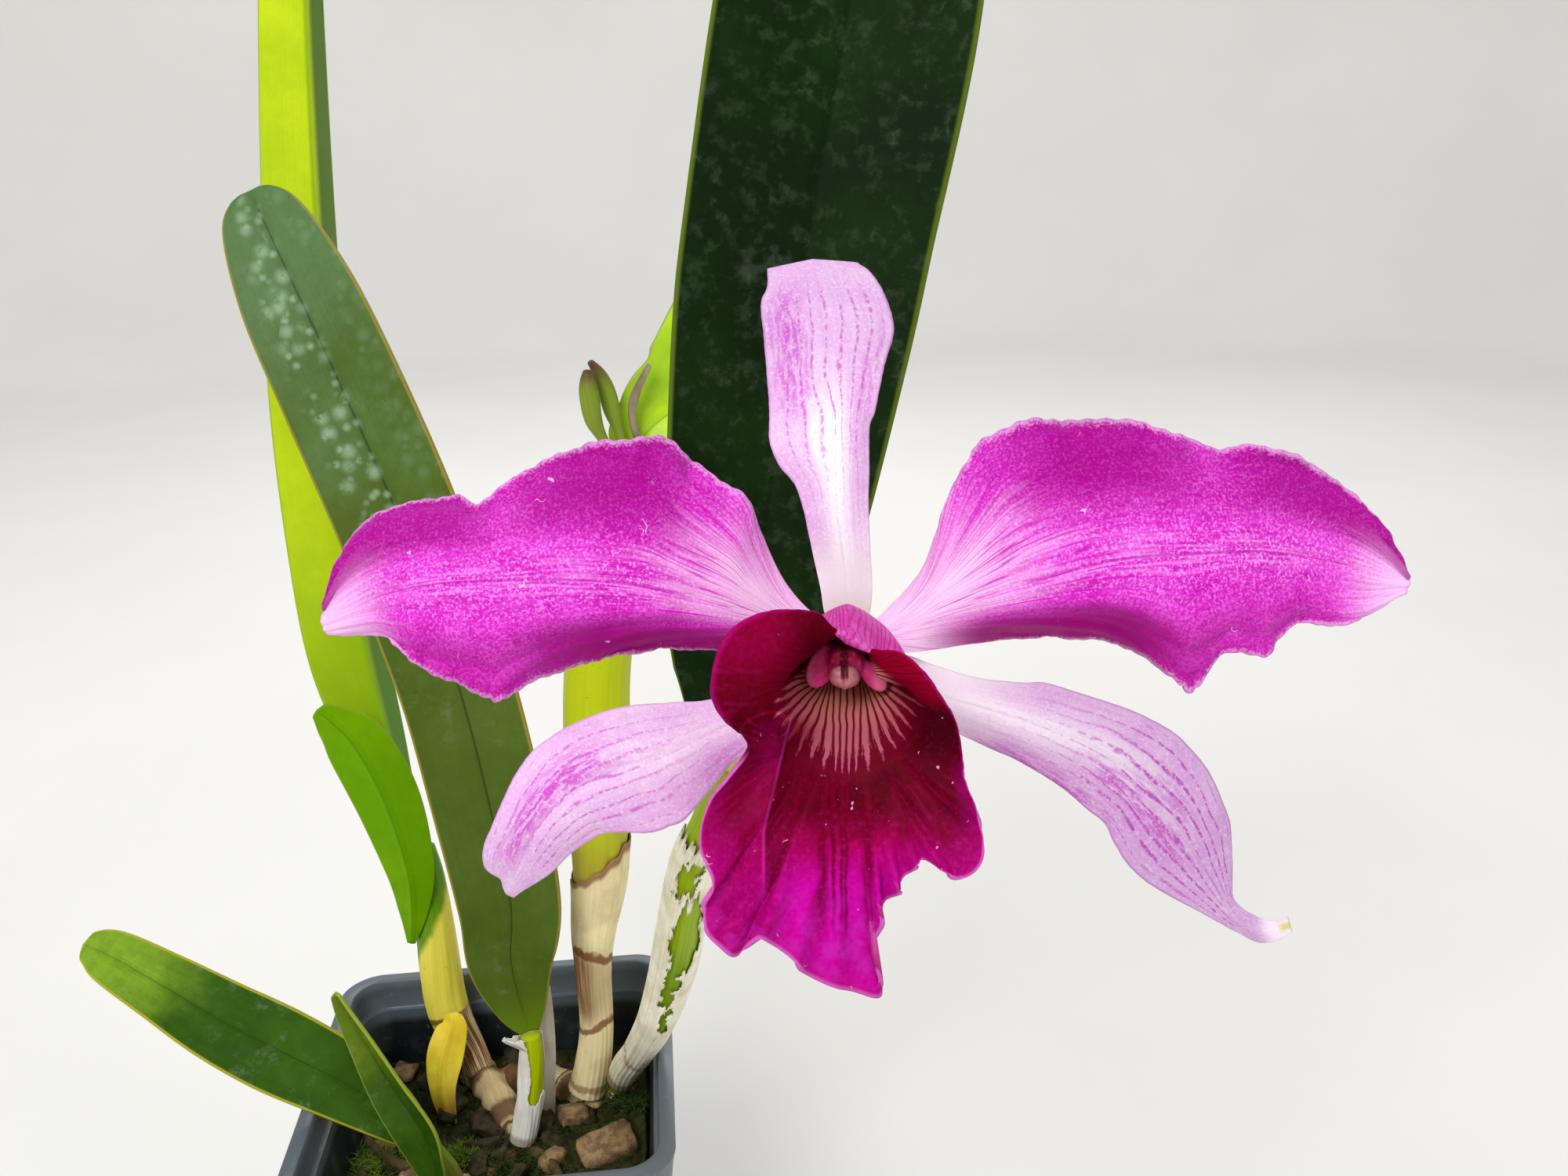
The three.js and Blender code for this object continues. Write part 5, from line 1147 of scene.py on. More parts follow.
def paper_finish(name, paper, stain, patches, green=None, fibres=0.4, line=None):
    """A dried sheath: pale long fibres with brown patches, given as [s, half width, share, side, tilt]."""
    look = Finish(name, roughness=0.62, specular=0.12)
    s, t = look.s, look.t
    cloud = look.noise(9.0, 5.0)
    fibre = look.stretched(2.5, 110.0, 4.0)
    grain = look.noise(0.7, 3.0)
    look.body = look.mix(cloud.rise(0.35, 0.7, 0.5), paper, paint(196, 184, 140))
    look.over(fibre.rise(0.44, 0.64) * fibres, paint(160, 146, 108))
    look.over(fibre.rise(0.5, 0.3) * fibres, paint(246, 243, 234))
    if green:
        look.over(look.noise(12.0).rise(0.5, 0.68, 0.4), green)
    for centre, width, share, side, tilt in patches:
        where = s + t * tilt + -centre
        near = abs(where + cloud.centred(0.12)).rise(width, width * 0.4)
        if side is not None:
            near = (near * (t.apart(side) + cloud.centred(0.12)).rise(0.24, 0.07)
                    * fibre.rise(0.4, 0.6).line(0.4, 0.6))
        look.over(near * share, stain)
    if line:
        look.over(s.rise(0.975, 0.99) * line, stain)
    return look.done(grain.line(0.25, 0.5), fibre * (2.0 * fibres) + grain * 0.3, 0.16)


def pot_finish(colours):
    """Dark moulded plastic: faint flow marks, dust on the ledges and a painted blue-grey reflection along
    the rim.
    """
    look = Finish("pot_plastic", roughness=0.36, specular=0.5, follows=False)
    height = look.parts(look.where())[2]
    cloud = look.noise(24.0, 5.0)
    grain = look.noise(0.5, 3.0)
    spots = look.noise(2.4, 3.0).rise(0.62, 0.72)
    look.body = look.mix(cloud.rise(0.35, 0.7), colours.pot, paint(36, 45, 50))
    # Painted reflection: the top of the rim is lightened blue-grey, as if lit by the sky above.
    rim = height.rise(0.0965, 0.1)
    look.over(rim * 0.8, paint(92, 104, 114))
    look.over(spots * 0.3, paint(120, 124, 120))
    dust = look.noise(12.0, 6.0).rise(0.5, 0.7, 0.22)
    look.over(dust, paint(112, 104, 90))
    return look.done(grain.line(0.25, 0.24) + dust * 0.8, cloud * 0.4 + grain, 0.06)


# ---- Shapes made of several parts ----------------------------------------------------------------------

def square_outline(half, corner, t):
    """Points round a rounded square, from the middle of its right side."""
    place = (np.asarray(t) % 1) * 4
    quarter = np.floor(place)
    f = place - quarter
    bend = np.clip((f - 0.3) / 0.4, 0, 1) * np.pi / 2
    x = half - corner + corner * np.cos(bend) - np.clip((f - 0.7) / 0.3, 0, 1) * (half - corner)
    y = np.clip(f / 0.3, 0, 1) * (half - corner) + corner * np.sin(bend)
    turn = quarter * np.pi / 2
    return x * np.cos(turn) - y * np.sin(turn), x * np.sin(turn) + y * np.cos(turn)


def square_surface(profile):
    """A square tub: s runs along the profile's rows of [half width, corner radius, z], t once round."""
    profile = np.asarray(profile, float)
    rows = np.linspace(0, 1, len(profile))

    def surface(s, t):
        half, corner, z = (np.interp(s, rows, profile[:, k]) for k in range(3))
        x, y = square_outline(half, corner, t)
        return np.stack([x, y, z], axis=1)
    return surface


def mix_height(x, y):
    """Height of the mix's top."""
    return MIX_TOP + 1.1 * np.sin(x / 7 + 1) * np.cos(y / 6) + 0.7 * np.sin((x + y) / 3.7)


def thicken(piece, thickness, **settings):
    """Gives a sheet its thickness, half to each side."""
    modify(piece, "SOLIDIFY", thickness=thickness, offset=0, **settings)
    outwards(piece)


def join(pieces, name):
    """Makes several mesh objects one."""
    clear_selection()
    for piece in pieces:
        piece.select_set(True)
    bpy.context.view_layer.objects.active = pieces[0]
    bpy.ops.object.join()
    pieces[0].name = pieces[0].data.name = name
    return pieces[0]


def add_ball(name, centre, radii, axes=None, segments=24):
    """An egg of the given radii, in millimetres, turned by axes."""
    clear_selection()
    bpy.ops.mesh.primitive_uv_sphere_add(segments=segments, ring_count=segments * 2 // 3, radius=1)
    piece = bpy.context.object
    piece.name = piece.data.name = name
    points = points_of(piece) * np.array(radii)
    if axes is not None:
        points = points @ np.array(axes).T
    set_points(piece, (points + np.array(centre)) * MM)
    return piece


def copies(name, template, shapes):
    """One mesh that holds a changed copy of the template for each array of points in shapes."""
    count = len(template.data.vertices)
    polygons = [list(face.vertices) for face in template.data.polygons]
    points = [tuple(point) for shape in shapes for point in shape * MM]
    faces = [[k + index * count for k in face] for index in range(len(shapes)) for face in polygons]
    mesh = bpy.data.meshes.new(name)
    mesh.from_pydata(points, [], faces)
    piece = bpy.data.objects.new(name, mesh)
    bpy.context.collection.objects.link(piece)
    bpy.data.objects.remove(template)
    return piece


def cut_away(piece, gone):
    """Deletes the faces that gone() says are torn away, from the s, t and place of their centres."""
    mesh = bmesh.new()
    mesh.from_mesh(piece.data)
    uv = mesh.loops.layers.uv.active
    torn = []
    for face in mesh.faces:
        s = sum(loop[uv].uv.x for loop in face.loops) / len(face.loops)
        t = sum(loop[uv].uv.y for loop in face.loops) / len(face.loops)
        if gone(s, t, face.calc_center_median() / MM):
            torn.append(face)
    bmesh.ops.delete(mesh, geom=torn, context="FACES")
    mesh.to_mesh(piece.data)
    mesh.free()


def add_blade(name, steps, leaf, wave, seed):
    """A leaf-like blade with its thickness."""
    piece = add_sheet(name, steps, leaf_surface(leaf, wave, seed))
    edit(piece, weld)
    thicken(piece, leaf["thickness"] * MM)
    return piece


def second_finish(piece, count, picked):
    """Gives the piece's second finish to those of its count equal parts whose number picked() takes."""
    share = len(piece.data.polygons) // count
    piece.data.polygons.foreach_set(
        "material_index", [int(picked(index)) for index in range(count) for _ in range(share)])


class OrchidStep:
    """What the building steps share."""
    bl_options = {"REGISTER", "UNDO"}


class ORCHID_OT_petals(OrchidStep, bpy.types.Operator):
    """Adds the two broad, frilled petals"""
    bl_idname = "orchid.petals"
    bl_label = "Petals"

    def execute(self, context):
        flower = context.scene.orchid_flower
        for node, name, tip_from in (("petal_left", "left_petal", 0.8),
                                     ("petal_right", "right_petal", 0.84)):
            piece = add_sheet(name, (220, 60), petal_surface(PETALS[node], flower.ruffle / MM, fanned=True))
            thicken(piece, flower.petal_thickness)
            dress(piece, "petal", [petal_finish(name, flower, tip_from)], node)
        return {"FINISHED"}


class ORCHID_OT_sepals(OrchidStep, bpy.types.Operator):
    """Adds the three narrow sepals"""
    bl_idname = "orchid.sepals"
    bl_label = "Sepals"

    def execute(self, context):
        flower = context.scene.orchid_flower
        # Flushes are rows of [side, half width, start, end, share], and the next entry is [from, to, share]
        # of the painted shade that deepens towards the tip.
        for node, name, white, flushes, painted_shade, rows, tip in (
                ("sepal_top", "top_sepal", 0.9,
                 ((0.62, 0.5, 0.55, 0.98, 0.85), (-0.75, 0.35, 0.5, 0.85, 0.4)),
                 (0.55, 0.8, 0.18), 0.6, 0),
                ("sepal_lower_left", "lower_left_sepal", 0.35,
                 ((0.3, 0.55, 0.5, 0.97, 0.95), (-0.9, 0.6, 0.0, 0.5, 0.6)),
                 (0.7, 1.0, 0.2), 0.6, 0),
                ("sepal_lower_right", "lower_right_sepal", 0.8,
                 ((-0.3, 0.4, 0.4, 0.8, 0.9), (0.15, 0.3, 0.5, 0.8, 0.6), (-0.95, 0.4, 0.05, 0.62, 0.9)),
                 (-0.4, 0.8, 0.36), 1.0, 0.9)):
            piece = add_sheet(name, (180, 40), petal_surface(PETALS[node], 0.25 * flower.ruffle / MM))
            thicken(piece, flower.petal_thickness)
            dress(piece, "sepal", [sepal_finish(name, flower, white, flushes, painted_shade, rows, tip)], node)
        return {"FINISHED"}


class ORCHID_OT_lip(OrchidStep, bpy.types.Operator):
    """Adds the lip, rolled round the column and flared in front"""
    bl_idname = "orchid.lip"
    bl_label = "Lip"

    def execute(self, context):
        flower = context.scene.orchid_flower
        piece = add_sheet("orchid_lip", (80, 380), lip_surface)
        for material in (lip_inner_finish(flower), lip_outer_finish()):
            piece.data.materials.append(material)
        edit(piece, weld)
        modify(piece, "SOLIDIFY", thickness=flower.lip_thickness, offset=0, material_offset=1)
        add_front_map(piece)
        dress(piece, "lip", [], "lip")
        return {"FINISHED"}


class ORCHID_OT_column(OrchidStep, bpy.types.Operator):
    """Adds the column with its two wings, and the anther cap at its end"""
    bl_idname = "orchid.column"
    bl_label = "Column and cap"

    def execute(self, context):
        flower = context.scene.orchid_flower
        stem = tube_surface(COLUMN, front=(0, -1, 0.2))
        parts = [add_tube("column_stem", (30, 48), lambda s, t: to_row(stem(s, t)))]
        for centre, radii, lean in COLUMN_WINGS:
            axes = FLOWER_AXES @ Matrix.Rotation(math.radians(lean), 3, "Z")
            parts.append(add_ball("column_wing", to_row(np.array([centre]))[0], radii, axes))
        piece = join(parts, "flower_column")
        modify(piece, "REMESH", mode="VOXEL", voxel_size=COLUMN_GRAIN * MM)
        modify(piece, "SMOOTH", iterations=4, factor=0.5)
        add_front_map(piece)
        dress(piece, "column", [column_finish(flower)], "column")
        cap = add_ball("cap_of_anther", (0, 0, 0), CAP_RADII, segments=48)
        points = points_of(cap) / MM
        x, y, z = points.T
        cleft = np.exp(-(x / 0.35) ** 2)
        points[:, 2] -= 0.45 * cleft * (z > 0)
        points[:, 1] -= 0.35 * cleft * (y < 0) * np.abs(y) / 2
        points[:, 1] += 0.3 * np.abs(x) / 2.3 * (y > 0)
        set_points(cap, to_row(points + np.array(CAP_CENTRE)) * MM)
        add_front_map(cap)
        dress(cap, "anther_cap", [cap_finish(flower)], "anther_cap")
        return {"FINISHED"}


class ORCHID_OT_stalk(OrchidStep, bpy.types.Operator):
    """Adds the flower stalk with its ribbed ovary"""
    bl_idname = "orchid.stalk"
    bl_label = "Flower stalk"

    def execute(self, context):
        x, y, z = KNOB
        knob = [[x, y, z - KNOB_LENGTH - 4], [x, y, z - KNOB_LENGTH], [x, y, z]]
        ends = to_row(np.array(knob))
        rows = FLOWER_STALK + [[*end, radius] for end, radius in zip(ends, (2.7, KNOB_RADIUS, KNOB_RADIUS))]
        ribs = lambda s, t: 0.14 * np.sin(12 * np.pi * t + 3 * s) * smooth(s, 0.1, 0.4)
        piece = add_tube("stalk_of_flower", (90, 48), tube_surface(rows, ribs))
        finish = bulb_finish("flower_stalk", paint(150, 172, 66), paint(186, 190, 90), (0.2, 0.8),
                             paint(120, 60, 90))
        dress(piece, "stalk", [finish], "flower_stalk")
        return {"FINISHED"}


class ORCHID_OT_buds(OrchidStep, bpy.types.Operator):
    """Adds the two young buds"""
    bl_idname = "orchid.buds"
    bl_label = "Buds"

    def execute(self, context):
        finish = bulb_finish("bud", paint(98, 70, 44), paint(128, 150, 44), (0.55, 0.95), paint(84, 52, 30))
        for node, rows in BUDS.items():
            folds = lambda s, t: 0.12 * np.sin(6 * np.pi * t + 5 * s) * smooth(s, 0.3, 0.6)
            piece = add_tube(node.replace("bud_", "young_bud_"), (60, 32), tube_surface(rows, folds))
            dress(piece, "bud", [finish], node)
        return {"FINISHED"}


class ORCHID_OT_leaves(OrchidStep, bpy.types.Operator):
    """Adds the seven leaves"""
    bl_idname = "orchid.leaves"
    bl_label = "Leaves"

    def execute(self, context):
        plant = context.scene.orchid_plant
        edge = plant.leaf_edge
        finishes = {
            "leaf_right": ("leaf_dark", leaf_finish(
                "leaf_dark", plant.leaf_dark, paint(9, 24, 6), paint(96, 116, 30), paint(10, 26, 8),
                paint(20, 42, 10), 0.05, 0.04, 0.55, 0.14, foot=paint(170, 195, 30), foot_end=0.1,
                scaly=0.32)),
            # Painted light: these two leaves are bright yellow-green, partly their own colour and partly the
            # light that shines through them from behind.
            "leaf_middle": ("leaf_bright", leaf_finish(
                "leaf_bright", plant.leaf_bright, paint(140, 190, 14), edge, paint(110, 160, 16),
                paint(190, 226, 30), 0.05, 0.3, 0.45, 0.12)),
            "leaf_left_tall": ("leaf_bright", leaf_finish(
                "leaf_bright_tall", paint(182, 210, 4), paint(58, 104, 6), paint(150, 180, 30),
                paint(150, 200, 4), paint(200, 222, 16), 0.02, 0.18, 0.5, 0.05,
                foot=paint(84, 142, 0), foot_end=0.58, shade_side=1.0)),
            "leaf_left_short": ("leaf_green", leaf_finish(
                "leaf_green_short", paint(104, 158, 0), paint(70, 126, 0), edge, paint(82, 134, 4),
                paint(120, 172, 2), 0.03, 0.05, 0.45, 0.1, foot=paint(104, 160, 0))),
            "leaf_front_long": ("leaf_grey", leaf_finish(
                "leaf_grey", plant.leaf_grey, paint(50, 72, 16), paint(160, 140, 50), paint(20, 40, 16),
                paint(80, 102, 28), 0.1, 0.16, 0.5, 0.16, foot=paint(96, 124, 14), specks=0.1,
                upper=paint(84, 118, 66), dots=0.55, upper_from=(0.62, 0.84))),
            "leaf_low": ("leaf_green", leaf_finish(
                "leaf_green_low", plant.leaf_green, paint(24, 60, 6), paint(176, 170, 40),
                paint(26, 62, 8), paint(58, 98, 14), 0.15, 0.12, 0.45, 0.2, upper=paint(132, 170, 40),
                edge_from=0.93, upper_from=(0.66, 0.86))),
            "leaf_small": ("leaf_green", leaf_finish(
                "leaf_green_small", paint(44, 84, 8), paint(24, 58, 6), edge, paint(22, 52, 8),
                paint(72, 110, 18), 0.12, 0.2, 0.42, 0.2, upper=paint(98, 124, 14))),
        }
        for index, (node, (slot, finish)) in enumerate(finishes.items()):
            rib = LEAVES[node]["rib"]
            wave = 0.9 if rib[BROAD_ROW][3] > BROAD_HALF else 0.35
            steps = (170 if len(rib) > LONG_RIB else 100, 40)
            piece = add_blade(node.replace("leaf_", "strap_"), steps, LEAVES[node], wave, index * 1.7)
            dress(piece, slot, [finish], node)
        return {"FINISHED"}


class ORCHID_OT_bulbs(OrchidStep, bpy.types.Operator):
    """Adds the three bulbs and the two short stems"""
    bl_idname = "orchid.bulbs"
    bl_label = "Bulbs"

    def execute(self, context):
        plant = context.scene.orchid_plant
        green, yellow = plant.bulb_green, plant.bulb_yellow

        def furrows(count, depth):
            return lambda s, t: depth * (np.sin(2 * np.pi * count * t + 2.2 * np.sin(5 * s))
                                         + 0.5 * np.sin(2 * np.pi * (2 * count + 1) * t)) * np.sin(np.pi * s)
        plans = (
            ("bulb_right", "right_bulb", "bulb_right", BULB_RIGHT, (160, 64), furrows(9, 0.14),
             bulb_finish("bulb_right", paint(150, 176, 0), paint(112, 146, 4), (0.45, 0.75),
                         paint(84, 126, 0))),
            ("bulb_middle", "middle_bulb", "bulb_middle", BULB_MIDDLE, (190, 72), furrows(10, 0.16),
             bulb_finish("bulb_middle", green, paint(170, 160, 50), (0.5, 0.58), paint(160, 178, 0),
                         fibres=0.3)),
            ("bulb_left", "left_bulb", "bulb_left", BULB_LEFT, (120, 64), furrows(9, 0.16),
             bulb_finish("bulb_left", paint(96, 148, 0), yellow, (0.69, 0.74), paint(222, 184, 60), 0.32,
                         0.26, slant=0.5, fibres=0.12)),
            ("stem_front", "front_stem", "stem_young", STEM_FRONT, (60, 48), furrows(7, 0.08),
             bulb_finish("stem_front", paint(176, 194, 0), paint(150, 170, 6), (0.0, 0.4),
                         paint(110, 140, 0))),
            ("stem_small", "small_stem", "stem_young", STEM_SMALL, (40, 48), furrows(7, 0.1),
             bulb_finish("stem_small", paint(120, 150, 50), paint(150, 130, 60), (0.0, 0.5),
                         paint(100, 90, 40))),
        )
        for node, name, slot, rows, steps, swell, finish in plans:
            piece = add_tube(name, steps, tube_surface(rows, swell))
            dress(piece, slot, [finish], node)
        return {"FINISHED"}


class ORCHID_OT_sheaths(OrchidStep, bpy.types.Operator):
    """Adds the papery sheaths round the stems, torn and ragged at their upper edges"""
    bl_idname = "orchid.sheaths"
    bl_label = "Sheaths"

    def execute(self, context):
        plant = context.scene.orchid_plant

        def wrap(name, rows, clear, low, high, steps, gone=None, curl=lambda s, t: 0):
            wrinkle = lambda s, t: clear + 0.1 * np.sin(40 * np.pi * t + 9 * s) + 0.22 * np.sin(
                14 * np.pi * t + 14 * s) * np.sin(np.pi * s)
            shape = tube_surface(rows, wrinkle, ends=(False, False))
            piece = add_sheet(name, steps, lambda s, t: shape(low + (high(t) - low) * s, t) + curl(s, t))
            edit(piece, weld)
            if gone:
                cut_away(piece, gone)
            thicken(piece, plant.sheath_thickness)
            return piece

        def torn(s, t, place):
            wander = noise.noise(place / 4.0) * 0.05 + noise.noise(place / 1.3) * 0.015
            holes = ((0.9, 0.47, 0.055, 0.085), (0.74, 0.54, 0.1, 0.11), (0.57, 0.49, 0.09, 0.06),
                     (0.43, 0.53, 0.06, 0.045))
            return any(math.hypot((s + wander - mid) / long, (t + wander - turn) / wide) < 1
                       for mid, turn, long, wide in holes)

        edge = lambda top, tilt, seed: lambda t: (
            top + tilt * np.cos(2 * np.pi * (t - 0.5)) + 0.012 * np.sin(26 * np.pi * t + seed)
            + 0.008 * np.sin(58 * np.pi * t))
        piece = wrap("right_sheath", BULB_RIGHT, 0.75, 0.07, edge(0.84, 0.02, 0.4), (220, 110), torn)
        dress(piece, "sheath", [paper_finish("paper_right", plant.sheath, plant.sheath_stain,
                                             [(0.02, 0.05, 0.7, None, 0), (0.3, 0.014, 0.5, None, 0.2)],
                                             paint(190, 200, 140), 0.3, 0.3)],
              "sheath_right")
        slant = lambda t: 0.514 + 0.024 * np.sin(2 * np.pi * (t - 0.5)) + 0.002 * np.sin(22 * np.pi * t)
        piece = wrap("middle_sheath", BULB_MIDDLE, 0.75, 0.02, slant, (130, 96))
        dress(piece, "sheath", [paper_finish("paper_middle", paint(254, 238, 184), paint(122, 58, 4),
                                             [(0.72, 0.17, 0.3, None, 0.34), (0.7, 0.21, 0.95, 0.34, 0.3),
                                              (0.86, 0.03, 0.85, None, 0.34), (0.37, 0.024, 0.8, None, 0),
                                              (0.06, 0.03, 0.6, None, 0), (0.9, 0.14, 0.15, None, 0)],
                                             None, 0.16, 0.8)], "sheath_middle")
        def hook(s, t):
            return (smooth(s, 0.86, 1.0) * np.exp(-((t - 0.36) / 0.1) ** 2))[:, None] * [-5.5, -1, 1.5]
        piece = wrap("front_sheath", STEM_FRONT, 0.6, 0.02, edge(0.97, 0.0, 1.1), (110, 80),
                     lambda s, t, place: s > 0.46 + 0.05 * math.sin(20 * t) and
                     0.475 + 0.02 * math.sin(13 * s) < t < 0.82, hook)
        dress(piece, "sheath", [paper_finish("paper_front", paint(240, 240, 234), plant.sheath_stain,
                                             [(0.0, 0.1, 0.6, None, 0)], None, 0.25)], "sheath_front")
        piece = add_blade("front_scale", (90, 30), LEAVES["scale_front"], 0.3, 2)
        dress(piece, "sheath", [paper_finish("paper_scale", paint(240, 238, 226), plant.sheath_stain,
                                             [(0.0, 0.2, 0.5, None, 0)], None, 0.25)], "scale_front")
        return {"FINISHED"}


class ORCHID_OT_bracts(OrchidStep, bpy.types.Operator):
    """Adds the yellow bract at the left bulb's foot and the withered one by the buds"""
    bl_idname = "orchid.bracts"
    bl_label = "Bracts"

    def execute(self, context):
        plant = context.scene.orchid_plant
        for node, name, slot, finish in (
                ("bract_yellow", "yellow_bract", "bract_yellow", leaf_finish(
                    "bract_yellow", plant.bract, paint(214, 160, 20), paint(244, 226, 90),
                    paint(214, 170, 30), paint(244, 216, 50), 0.0, 0.3, 0.45, 0.2,
                    foot=paint(140, 96, 30), foot_end=0.3)),
                ("bract_middle", "dry_bract", "bract_dry", paper_finish(
                    "bract_dry", paint(112, 98, 72), paint(60, 40, 24), [(0.0, 0.3, 0.6, None, 0)]))):
            dress(add_blade(name, (90, 30), LEAVES[node], 0.4, 3), slot, [finish], node)
        return {"FINISHED"}


class ORCHID_OT_rootstock(OrchidStep, bpy.types.Operator):
    """Adds the creeping rootstock and the roots on the mix"""
    bl_idname = "orchid.rootstock"
    bl_label = "Rootstock and roots"

    def execute(self, context):
        pot = context.scene.orchid_pot
        parts = []
        stock = paper_finish("rootstock", paint(196, 168, 116), pot.root,
                             [(0.12, 0.05, 0.9, None, 0), (0.3, 0.05, 0.85, None, 0),
                              (0.58, 0.016, 0.9, None, 0), (0.52, 0.05, 0.85, None, 0),
                              (0.8, 0.2, 0.9, None, 0)], paint(70, 66, 28), 0.5)
        roots = speckled_finish("roots", paint(84, 72, 40), paint(52, 50, 26), paint(140, 130, 84), 4.0, 0.8,
                                0.25, 0.15)
        for rows in ROOTSTOCKS:
            knobs = lambda s, t: 0.5 * np.sin(60 * s) + 0.3 * np.sin(8 * np.pi * t + 20 * s)
            parts.append(add_tube("stock", (120, 36), tube_surface(rows, knobs, front=(0.1, 0.1, 1))))
            parts[-1].data.materials.append(stock)
        for index, rows in enumerate(ROOTS):
            bends = lambda s, t: 0.12 * np.sin(40 * s + index)
            parts.append(add_tube("root", (90, 20), tube_surface(rows, bends, front=(0.1, 0.1, 1))))
            parts[-1].data.materials.append(roots)
        piece = join(parts, "rootstock_and_roots")
        dress(piece, "rhizome", [], "rhizome")
        return {"FINISHED"}


class ORCHID_OT_mix(OrchidStep, bpy.types.Operator):
    """Adds the damp mix with its bark chips and moss"""
    bl_idname = "orchid.mix"
    bl_label = "Bark mix"

    def execute(self, context):
        pot = context.scene.orchid_pot
        def inner(z):
            """Half the pot's inner width at a height, less a clearance."""
            return 37.2 + (z - 3) / 98.5 * 11 - 0.3
        profile = [[0.01, 0.004, 3.3], [18, 4, 3.3], [inner(3.3), 8, 3.3], [inner(30), 8.2, 30],
                   [inner(60), 8.6, 60], [inner(79.5), 8.8, 79.5], [inner(81.5) - 0.6, 8.6, 82]]
        profile += [[inner(81) * share, 8.6 * share, MIX_TOP] for share in np.linspace(0.97, 0.001, 22)]
        body = square_surface(profile)

        def bed(s, t):
            points = body(s, t)
            top = points[:, 2] > 82.5
            rough = ripple(points[top], 2.6, 3) * 1.1 + ripple(points[top], 0.9, 5) * 0.5
            points[top, 2] = mix_height(points[top, 0], points[top, 1]) + rough - 0.4
            return points
        piece = add_tube("mix_bed", (28 * 6, 260), bed)
        soil = speckled_finish("damp_mix", pot.soil, paint(54, 58, 20), paint(84, 80, 40), 4.0, 0.85, 0.5,
                               0.15)
        dress(piece, "potting_mix", [soil], "potting_mix")

        random.seed(CHIP_SEED)
        feet = [(row[0], row[1], row[3]) for row in (BULB_RIGHT[0], BULB_MIDDLE[0], BULB_LEFT[0],
                                                    STEM_FRONT[0], STEM_SMALL[0])]
        plans = list(BIG_CHIPS)
        (left, right), (near, far) = BARE_PATCH
        while len(plans) < pot.chips:
            x, y = random.uniform(-41, 41), random.uniform(-41, 41)
            size = (random.uniform(5, 13), random.uniform(4, 8), random.uniform(2.2, 4.5))
            turn = (random.uniform(-0.5, 0.5), random.uniform(-0.5, 0.5), random.uniform(0, math.tau))
            clear = all(math.hypot(x - a, y - b) > r + 0.45 * size[0] for a, b, r in feet)
            if clear and not (left < x < right and near < y < far):
                plans.append(((x, y, float(mix_height(x, y)) + random.uniform(-0.2, 1.6)), size, turn))
        clear_selection()
        bpy.ops.mesh.primitive_cube_add(size=1)
        template = bpy.context.object
        edit(template, lambda: bpy.ops.mesh.subdivide(number_cuts=3))
        flat = points_of(template)
        flat *= (1 - 0.22 * np.sum(flat ** 4, axis=1) * 8)[:, None] ** 0.5
        shapes = []
        for index, (centre, size, turn) in enumerate(plans):
            points = flat * np.array(size)
            points += np.stack([ripple(points, 2.4, index + k * 50) for k in range(3)], axis=1) * 0.9
            points += np.stack([ripple(points, 0.9, index + k * 70) for k in range(3)], axis=1) * 0.3
            shapes.append(points @ np.array(Euler(turn).to_matrix()).T + np.array(centre))
        chips = copies("bark_chips", template, shapes)
        bark = speckled_finish("bark", pot.bark, paint(28, 30, 16), paint(84, 70, 48), 3.2, 0.75, 0.35, 0.2)
        fresh = speckled_finish("fresh_bark", paint(156, 126, 86), paint(104, 80, 54), paint(200, 176, 134),
                                3.2, 0.7, 0.35, 0.3)
        dress(chips, "potting_mix", [bark, fresh], "potting_mix")
        second_finish(chips, len(plans), lambda index: index < len(BIG_CHIPS) or index % 9 == 0)

        clear_selection()
        bpy.ops.mesh.primitive_cone_add(vertices=3, radius1=1, radius2=0.1, depth=1)
        template = bpy.context.object
        edit(template, lambda: bpy.ops.mesh.bisect(plane_co=(0, 0, -0.17), plane_no=(0, 0, 1)),
             lambda: bpy.ops.mesh.bisect(plane_co=(0, 0, 0.17), plane_no=(0, 0, 1)))
        flat = points_of(template)
        shapes = []
        for index in range(pot.strands):
            x0, y0, spread, tall = MOSS_TUFTS[index % len(MOSS_TUFTS)]
            x, y = random.gauss(x0, spread * 0.5), random.gauss(y0, spread * 0.5)
            x, y = max(-44, min(44, x)), max(-44, min(44, y))
            length, width = random.uniform(2.5, 6.5) * tall, random.uniform(0.16, 0.3)
            points = flat * np.array([width, width, length]) + np.array([0, 0, length / 2])
            bend = random.uniform(0.04, 0.16)
            points[:, 0] += bend * points[:, 2] ** 2
            turn = Euler((0, random.uniform(0.2, 1.1), random.uniform(0, math.tau))).to_matrix()
            shapes.append(points @ np.array(turn).T + np.array([x, y, float(mix_height(x, y)) - 0.4]))
        moss = copies("moss_strands", template, shapes)
        dark = speckled_finish("moss", pot.moss, paint(26, 40, 12), paint(84, 104, 34), 3.0, 0.7, 0.05, 0.2)
        light = speckled_finish("light_moss", paint(128, 156, 48), paint(84, 120, 30), paint(176, 190, 90),
                                3.0, 0.7, 0.05, 0.2)
        dress(moss, "potting_mix", [dark, light], "potting_mix")
        second_finish(moss, pot.strands, lambda index: index % len(MOSS_TUFTS) < LIGHT_TUFTS)
        return {"FINISHED"}


